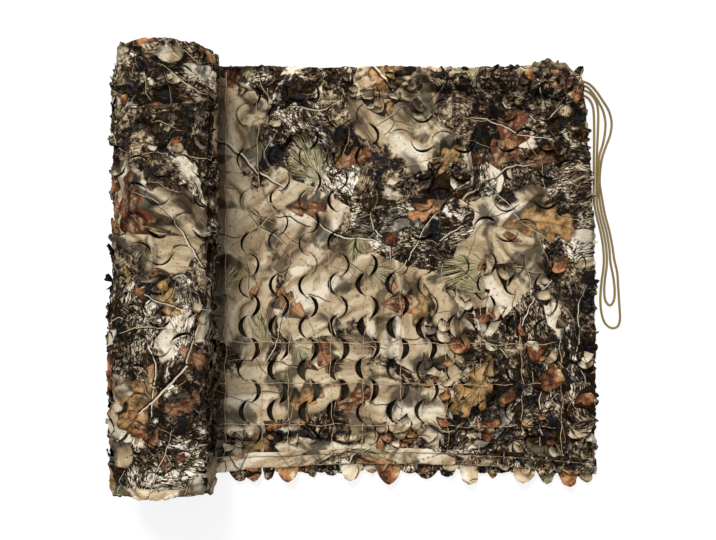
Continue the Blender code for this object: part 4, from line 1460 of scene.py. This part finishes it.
class Finish:
    """One material's nodes."""

    def __init__(self, name, roughness):
        self.material = bpy.data.materials.new(name)
        self.material.use_nodes = True
        self.tree = self.material.node_tree
        self.shader = self.tree.nodes["Principled BSDF"]
        self.shader.inputs["Roughness"].default_value = roughness
        self.shader.inputs["Specular IOR Level"].default_value = 0.03

    def node(self, kind, settings=None, sockets=(), outputs=0):
        """Makes any node: its settings first, then the values or links of its sockets."""
        made = self.tree.nodes.new(kind)
        for name, value in (settings or {}).items():
            if name == "stops":
                self.fill_ramp(made.color_ramp, value)
            else:
                setattr(made, name, value)
        pairs = sockets.items() if isinstance(sockets, dict) else enumerate(sockets)
        for name, value in pairs:
            if isinstance(value, Socket):
                self.tree.links.new(value.socket, made.inputs[name])
            elif value is not None:
                made.inputs[name].default_value = value
        if isinstance(outputs, tuple):
            return [Socket(self, made.outputs[name]) for name in outputs]
        return Socket(self, made.outputs[outputs])

    def fill_ramp(self, ramp, stops):
        """Gives a colour ramp its stops."""
        while len(ramp.elements) < len(stops):
            ramp.elements.new(0.5)
        for element, (place, colour) in zip(ramp.elements, stops):
            element.position = place
            element.color = (*colour, 1.0)

    def mixed(self, share, first, second, how="MIX"):
        """A colour between two colours."""
        first, second = (v if isinstance(v, Socket) else (*v, 1.0) for v in (first, second))
        return self.node(
            "ShaderNodeMix", {"data_type": "RGBA", "blend_type": how}, {0: share, 6: first, 7: second}, 2)

    def toned(self, value, *stops):
        """A colour ramp's colour at a value, from its stops: (place, colour)."""
        return self.node("ShaderNodeValToRGB", {"stops": stops}, (value,))

    def scaled(self, colour, share):
        """A colour made lighter or darker by a number, or a place drawn in."""
        return self.node("ShaderNodeVectorMath", {"operation": "SCALE"}, {0: colour, 3: share})

    def vector(self, x, y):
        """A place from its two numbers."""
        return self.node("ShaderNodeCombineXYZ", None, (x, y))

    def parts(self, place):
        """A place as its two numbers."""
        return self.node("ShaderNodeSeparateXYZ", None, (place,), (0, 1))

    def moved(self, place, by, how="ADD"):
        """A place moved by a step, or measured from another place."""
        return self.node("ShaderNodeVectorMath", {"operation": how}, (place, by))

    def stir(self, place, scale, reach):
        """A random step for each place, of up to about half that reach."""
        step = self.moved(self.noise(place, scale, 1.0, 0.5, 0.0, 1), (0.5, 0.5, 0.5), "SUBTRACT")
        return self.scaled(step, reach)

    def streaks(self, x, y, detail, rough, twist=0.0, scale=1.0):
        """Noise at a place given by its two numbers, each stretched in its own way."""
        return self.noise(self.vector(x, y), scale, detail, rough, twist)

    def noise(self, place, scale, detail=2.0, rough=0.5, twist=0.0, output=0):
        return self.node(
            "ShaderNodeTexNoise", {"noise_dimensions": "2D"},
            {"Vector": place, "Scale": scale, "Detail": detail, "Roughness": rough,
             "Distortion": twist}, output)

    def scattered(self, place, spacing, seed, spread=0.8):
        """Random cells: the place from each cell's middle, turned its own way, and three random numbers."""
        shifted = self.moved(place, (seed * 3.17, seed * 1.83, 0.0))
        colour, middle = self.node(
            "ShaderNodeTexVoronoi", {"voronoi_dimensions": "2D"},
            {"Vector": shifted, "Scale": 1 / spacing, "Randomness": spread},
            ("Color", "Position"))
        chance = self.node("ShaderNodeSeparateColor", None, (colour,), (0, 1, 2))
        local = self.moved(shifted, middle, "SUBTRACT")
        swung = self.node(
            "ShaderNodeVectorRotate", {"rotation_type": "Z_AXIS"},
            {"Vector": local, "Angle": chance[0] * FULL_TURN})
        u, v = self.parts(swung)
        return u, v, chance


# ---- the print

FULL_TURN = 6.283  # in radians
WEAVE_PITCH = 0.0011  # of the cloth's threads
# Its colours.
BLACK = (0.008, 0.005, 0.0025)
BLUE_BLACK = (0.014, 0.012, 0.0135)
EARTH = (0.036, 0.023, 0.013)
GREY_BROWN = (0.150, 0.105, 0.068)
TAN = (0.42, 0.305, 0.175)
SAND = (0.57, 0.455, 0.295)
CREAM = (0.60, 0.50, 0.35)
PALE = (0.75, 0.66, 0.51)
WHITE = (0.88, 0.82, 0.70)
MAROON = (0.105, 0.034, 0.018)
RUST = (0.215, 0.080, 0.036)
ORANGE = (0.41, 0.195, 0.085)
OCHRE = (0.36, 0.22, 0.08)
STRAW = (0.40, 0.34, 0.17)
OLIVE = (0.15, 0.14, 0.05)


def barked(finish, u, v, chance, warm):
    """Cracked bark along u: pale flakes between dark cracks."""
    grain = finish.vector(u * 85, v * 215)
    stirred = finish.moved(grain, finish.scaled(finish.noise(grain, 0.8, 2.0, 0.6, 0.0, 1), 1.7))
    crack = finish.node(
        "ShaderNodeTexVoronoi", {"voronoi_dimensions": "2D", "feature": "DISTANCE_TO_EDGE"},
        {"Vector": stirred, "Scale": 1.0, "Randomness": 1.0})
    flake = finish.noise(grain, 1.0, 4.0, 0.78, 0.25)
    plate = finish.streaks(u * 55, v * 100, 3.0, 0.6, 0.4, 0.26)
    tone = flake * 0.72 + plate * 1.05 + crack.ramp(0.0, 0.20) * 0.20 - 0.57 + (chance - 0.5) * 0.10
    grey = finish.toned(
        tone, (0.36, BLACK), (0.44, EARTH), (0.50, GREY_BROWN), (0.57, CREAM), (0.66, WHITE))
    brown = finish.toned(
        tone, (0.38, BLACK), (0.45, EARTH), (0.52, GREY_BROWN), (0.59, TAN), (0.67, PALE))
    return finish.mixed(warm, grey, brown)


def some_of(chance, share):
    """1 in that share of the cells, and 0 in the others."""
    return chance.ramp(share + 0.01, share - 0.01)


def leaf(finish, place, spacing, seed, length, wide, lobes, share):
    """Scattered leaves: a mask, a mask of their shadow and their colour.

    wide is a share of their length, lobes is how toothed they are, and share how many cells have one.
    """
    u, v, chance = finish.scattered(place, spacing, seed)
    along = u / length
    bent = v + along * along * (chance[2] - 0.5) * (length * 0.6)
    across = bent.size() / (length * wide)
    swept = along - across * 0.32
    body = (1 - swept * swept).most(0.0) ** 0.60
    teeth = (swept * lobes + chance[1] * 6).wave()
    outline = body * (teeth * 0.24 + (teeth * 3 + 1).wave() * 0.05 + 0.80)
    kept = some_of(chance[1], share)
    mask = (outline - across).ramp(-0.02, 0.03) * kept
    shade = (outline - across + (bent / length) * 0.7).ramp(-0.34, -0.02) * kept
    shade = shade * (1.12 - swept.size()).ramp(0.0, 0.15)
    vein = ((swept * 4.6).maths("FRACT") - 0.5).size().ramp(0.40, 0.49) * across.ramp(0.9, 0.2)
    rib = across.ramp(0.09, 0.03)
    colour = finish.toned(chance[2], (0.08, MAROON), (0.35, RUST), (0.62, ORANGE), (0.90, OCHRE))
    worn = finish.streaks(u * (2.4 / length), v * (4.0 / length), 3.0, 0.6)
    colour = finish.mixed(worn.ramp(0.46, 0.66) * 0.75, colour, TAN)
    colour = finish.mixed((outline - across).ramp(0.30, 0.0) * 0.6, colour, MAROON)
    colour = finish.mixed(vein.most(rib) * 0.45, colour, EARTH)
    return mask, shade, colour


def twigs(finish, place, spacing, seed, length, half, share):
    """Scattered thin twigs: a mask, a mask of their shadow and a share of light on them."""
    u, v, chance = finish.scattered(place, spacing, seed, 0.9)
    along = u / length
    middle = (along * (chance[2] * 3 + 1.2) + chance[1] * 6).wave() * length * 0.09
    crooked = finish.streaks(u * (1.8 / length), chance[0] * 40, 2.0, 0.5) - 0.5
    middle = middle + crooked * (length * 0.20)
    off = (v - middle) / (half * (0.4 + chance[2]))
    width = (1 - along * along).most(0.0) ** 0.5
    kept = some_of(chance[1], share)
    mask = (width - off.size()).ramp(-0.1, 0.25) * kept
    shade = (width - (off + 0.9).size() / 1.6).ramp(-0.1, 0.4) * kept
    return mask, shade, off.ramp(-0.9, 0.3)


def grass(finish, place, spacing, seed, reach, share):
    """Tufts of fine blades: a mask and their colour."""
    u, v, chance = finish.scattered(place, spacing, seed)
    turn = v.maths("ARCTAN2", u)
    far = (u * u + v * v) ** 0.5 / reach
    blades = finish.streaks(turn * 11, far * 1.3, 3.0, 0.7, 0.2)
    kept = some_of(chance[1], share)
    mask = (blades - 0.40).ramp(0.0, 0.08) * (turn.size() / 1.5 + far).ramp(1.15, 0.75) * kept
    tone = finish.streaks(turn * 30, far * 2.0, 2.0, 0.6)
    colour = finish.toned(tone, (0.36, BLACK), (0.46, OLIVE), (0.56, STRAW), (0.66, CREAM))
    return mask, colour


def printed(finish, place, wood=0.50):
    """The printed woodland pattern in cloth coordinates. wood is the share of barkless trunks."""
    bend, torn = finish.stir(place, 7.0, 0.07), finish.stir(place, 30.0, 0.016)
    warped = finish.moved(finish.moved(place, bend), torn)
    u, v, chance = finish.scattered(warped, 0.165, 1.0, 0.9)
    warm = finish.noise(place, 5.0, 2.0, 0.5).ramp(0.42, 0.60)
    bark = barked(finish, u, v, chance[2], warm)
    smooth = finish.streaks(u * 4.0, v * 30, 2.0, 0.5, 0.2)
    fine = finish.streaks(u * 25, v * 300, 3.0, 0.7)
    speck = finish.noise(place, 190, 2.0, 0.7)
    trunk = finish.toned(
        smooth + (fine - 0.5) * 0.16, (0.33, GREY_BROWN), (0.44, TAN), (0.54, SAND), (0.66, PALE))
    trunk = finish.mixed(speck.ramp(0.64, 0.70) * 0.7, trunk, EARTH)
    strips = finish.streaks(u * 5.5, v * 34, 2.0, 0.5, 0.1).ramp(0.60, 0.635)
    bare = chance[1].ramp(0.99 - wood, 1.01 - wood).most(strips)
    colour = finish.mixed(bare, bark, trunk)
    litter = finish.noise(place, 105, 4.0, 0.8, 0.25)
    clump = finish.noise(place, 26, 3.0, 0.65, 0.4)
    chip_u, chip_v, chip = finish.scattered(warped, 0.026, 21.0, 1.0)
    chips = finish.streaks(chip_u * 110, chip_v * 340, 3.0, 0.75, 0.3)
    ground = finish.toned(
        litter * 0.36 + chips * 0.62 + clump * 0.55 + (chip[2] - 0.5) * 0.10 - 0.255,
        (0.42, BLUE_BLACK), (0.50, EARTH), (0.56, GREY_BROWN), (0.62, TAN), (0.68, CREAM))
    gloom = finish.noise(place, 7.5, 4.0, 0.6, 0.2)
    edge = (v.size() / 0.086 + (gloom - 0.5) * 2.6).ramp(0.74, 0.90)
    colour = finish.mixed(edge, colour, ground)
    hollow = finish.noise(place, 14.0, 3.0, 0.6, 0.3)
    rough = (litter - 0.5) * (1 - bare.least(1 - edge)) * 0.9
    colour = finish.scaled(colour, (hollow + rough).ramp(0.36, 0.50) * 0.80 + 0.20)
    tinge = finish.noise(place, 24.0, 2.0, 0.6).ramp(0.40, 0.58)
    dark = finish.mixed(tinge, (0.020, 0.021, 0.024), (0.039, 0.023, 0.009))
    dusk = finish.mixed(litter.ramp(0.44, 0.64), finish.scaled(dark, 0.25), dark)
    return finish.mixed(1.0, colour, dusk, "LIGHTEN")


def motifs(finish, place, colour):
    """Grass, leaves and twigs laid over the ground of the print."""
    for spacing, seed, reach, share in ((0.10, 14.0, 0.06, 0.15), (0.16, 17.0, 0.09, 0.17)):
        mask, blades = grass(finish, place, spacing, seed, reach, share)
        colour = finish.mixed(mask, colour, blades)
    blotch = finish.noise(place, 40, 4.0, 0.7)
    for spacing, seed, length, wide, lobes, share in (
        (0.045, 9.0, 0.017, 0.42, 2.0, 0.07),
        (0.085, 5.0, 0.036, 0.48, 9.0, 0.12),
        (0.150, 2.0, 0.064, 0.52, 11.0, 0.22),
    ):
        mask, shade, leaves = leaf(finish, place, spacing, seed, length, wide, lobes, share)
        colour = finish.mixed(shade * 0.85, colour, BLACK)
        leaves = finish.scaled(leaves, blotch.ramp(0.36, 0.62) * 0.95 + 0.33)
        colour = finish.mixed(mask, colour, leaves)
    for spacing, seed, length, half, share, pale in (
        (0.055, 3.0, 0.034, 0.0008, 0.55, TAN),
        (0.10, 4.0, 0.050, 0.0013, 0.42, CREAM),
        (0.15, 8.0, 0.078, 0.0011, 0.50, PALE),
        (0.21, 7.0, 0.105, 0.0021, 0.42, PALE),
    ):
        mask, shade, lit = twigs(finish, place, spacing, seed, length, half, share)
        colour = finish.mixed(shade * 0.9, colour, BLACK)
        colour = finish.mixed(mask, colour, finish.mixed(lit, EARTH, pale))
    return colour


# ---- finishes

def finished(finish, colour, bump=None, deep=0.0002, strong=0.5):
    """Gives a finish its colour and, from a height, its bump."""
    finish.tree.links.new(colour.socket, finish.shader.inputs["Base Color"])
    if bump is not None:
        raised = finish.node(
            "ShaderNodeBump", None, {"Height": bump, "Distance": deep, "Strength": strong})
        finish.tree.links.new(raised.socket, finish.shader.inputs["Normal"])


def cloth_place(finish):
    """Where a place lies on the flat cloth, or on the cord along it and round it."""
    return finish.node("ShaderNodeUVMap", {"uv_map": "Cloth"})


def weave(finish, place):
    """A plain weave, as a height."""
    x, y = finish.parts(place)
    return (x * (FULL_TURN / WEAVE_PITCH)).wave() * (y * (FULL_TURN / WEAVE_PITCH)).wave()


def folded(finish, colour):
    """The colour darkened by the painted shade of the Fold map, in folds and elsewhere, and lightened by
    its painted highlights, as on their ridges.
    """
    dark, _ = finish.parts(finish.node("ShaderNodeUVMap", {"uv_map": "Fold"}))
    return finish.scaled(colour, 1 - dark)


def make_finishes():
    """The printed cloth, its hem and its back, darkened partly as painted shade, the autumn print, the
    threads and the cords.
    """
    for name, wood in ((PRINTED, 0.50), (HEM, 0.75), (BACK_WITH_PAINTED_SHADE, 0.50)):
        finish = Finish(name, 0.86)
        place = cloth_place(finish)
        colour = printed(finish, place, wood)
        if name == BACK_WITH_PAINTED_SHADE:
            # The back: the print much darker and browner, partly the back's own dark brown and partly
            # painted shade for where it shows through the cuts.
            colour = finish.mixed(0.55, finish.scaled(colour, 0.15), (0.025, 0.015, 0.009))
        else:
            colour = motifs(finish, place, colour)
            # Painted shade and painted highlights from the Fold map.
            colour = folded(finish, colour)
        finished(finish, colour, weave(finish, place))

    finish = Finish(AUTUMN, 0.86)
    place = cloth_place(finish)
    broad = finish.noise(place, 45, 3.0, 0.6)
    fine = finish.noise(place, 190, 3.0, 0.7)
    colour = finish.toned(
        broad * 0.74 + fine * 0.24 + 0.02,
        (0.36, EARTH), (0.43, MAROON), (0.50, RUST), (0.57, ORANGE), (0.64, OCHRE), (0.71, CREAM))
    u, v, _ = finish.scattered(place, 0.03, 6.0)
    streaks = ((u.size() * 0.8 - v) * 160).maths("FRACT").ramp(0.86, 0.97)
    vein = streaks.most(v.size().ramp(0.0012, 0.0004))
    colour = finish.mixed(vein * 0.55, colour, EARTH)
    # Painted shade and painted highlights from the Fold map.
    finished(finish, folded(finish, colour), weave(finish, place))

    finish = Finish(THREAD, 0.8)
    place = finish.node("ShaderNodeTexCoord", None, (), 3)
    tone = finish.noise(place, 240, 3.0, 0.6)
    colour = finish.mixed(tone.ramp(0.35, 0.65), (0.38, 0.235, 0.125), (0.69, 0.50, 0.31))
    finished(finish, colour)

    finish = Finish(CORD, 0.7)
    place = cloth_place(finish)
    x, y = finish.parts(place)
    turn, along = y * (FULL_TURN / BRAID_ROUND), x * (FULL_TURN / BRAID_PITCH)
    strands = (turn * 3 + along).wave() * (turn * 3 - along).wave()
    fibre = finish.streaks(x * 500, y * 2600, 3.0, 0.7)
    # Painted shade between the braid's strands and a painted highlight on them.
    lit = (strands * 0.5 + 0.5).ramp(0.1, 0.85)
    colour = finish.mixed(lit, (0.060, 0.039, 0.013), (0.40, 0.287, 0.120))
    colour = finish.scaled(colour, fibre * 0.8 + 0.6)
    finished(finish, colour, fibre, 0.0004, 0.6)


# ---- camera, floor and light

CAMERA_HEIGHT = 1.8


def make_studio():
    """The camera straight above, a pale floor, two soft lights and a white surround."""
    camera = bpy.data.cameras.new("camera")
    camera.lens = 50.7
    camera.sensor_width = 36
    seat = placed("camera", camera)
    seat.location = (0.0, 0.0, CAMERA_HEIGHT)
    bpy.context.scene.camera = seat

    bm = bmesh.new()
    bmesh.ops.create_grid(bm, x_segments=1, y_segments=1, size=30.0)
    mesh = bpy.data.meshes.new("floor")
    bm.to_mesh(mesh)
    bm.free()
    floor = placed("floor", mesh)
    pale = Finish("floor", 0.9)
    pale.shader.inputs["Base Color"].default_value = (0.28, 0.28, 0.28, 1.0)
    pale.shader.inputs["Emission Color"].default_value = (1.0, 1.0, 1.0, 1.0)
    pale.shader.inputs["Emission Strength"].default_value = 0.77
    mesh.materials.append(pale.material)
    floor.location.z = -0.0006

    for name, place, strength, angle in (
        ("key", (-0.26, 0.85, 0.80), 2.9, 22),
        ("fill", (0.9, -0.7, 1.1), 0.35, 60),
    ):
        lamp = bpy.data.lights.new(name, "SUN")
        lamp.energy = strength
        lamp.angle = math.radians(angle)
        holder = placed(name, lamp)
        holder.location = place
        holder.rotation_euler = (-Vector(place)).to_track_quat("-Z", "Y").to_euler()
    world = bpy.data.worlds.new("studio")
    bpy.context.scene.world = world
    world.use_nodes = True
    world.node_tree.nodes["Background"].inputs["Color"].default_value = (1.0, 1.0, 1.0, 1.0)
    world.node_tree.nodes["Background"].inputs["Strength"].default_value = 0.52
    bpy.context.scene.view_settings.view_transform = "Standard"


def main():
    """Makes the studio, the finishes and every piece."""
    make_studio()
    make_finishes()
    make_cord("tie_cord_long_braid", "tie_cord_long", LONG_CORD)
    make_cord("tie_cord_short_braid", "tie_cord_short", SHORT_CORD)
    loose = make_loose_end()
    hem = make_front_hem()
    stitches = make_hem_stitches()
    tongues = make_tongues()
    flaps = make_loose_flaps()
    threads = make_threads()
    outer = make_outer_turn()
    inner = make_wound_turns()
    frayed = make_roll_flaps()


main()
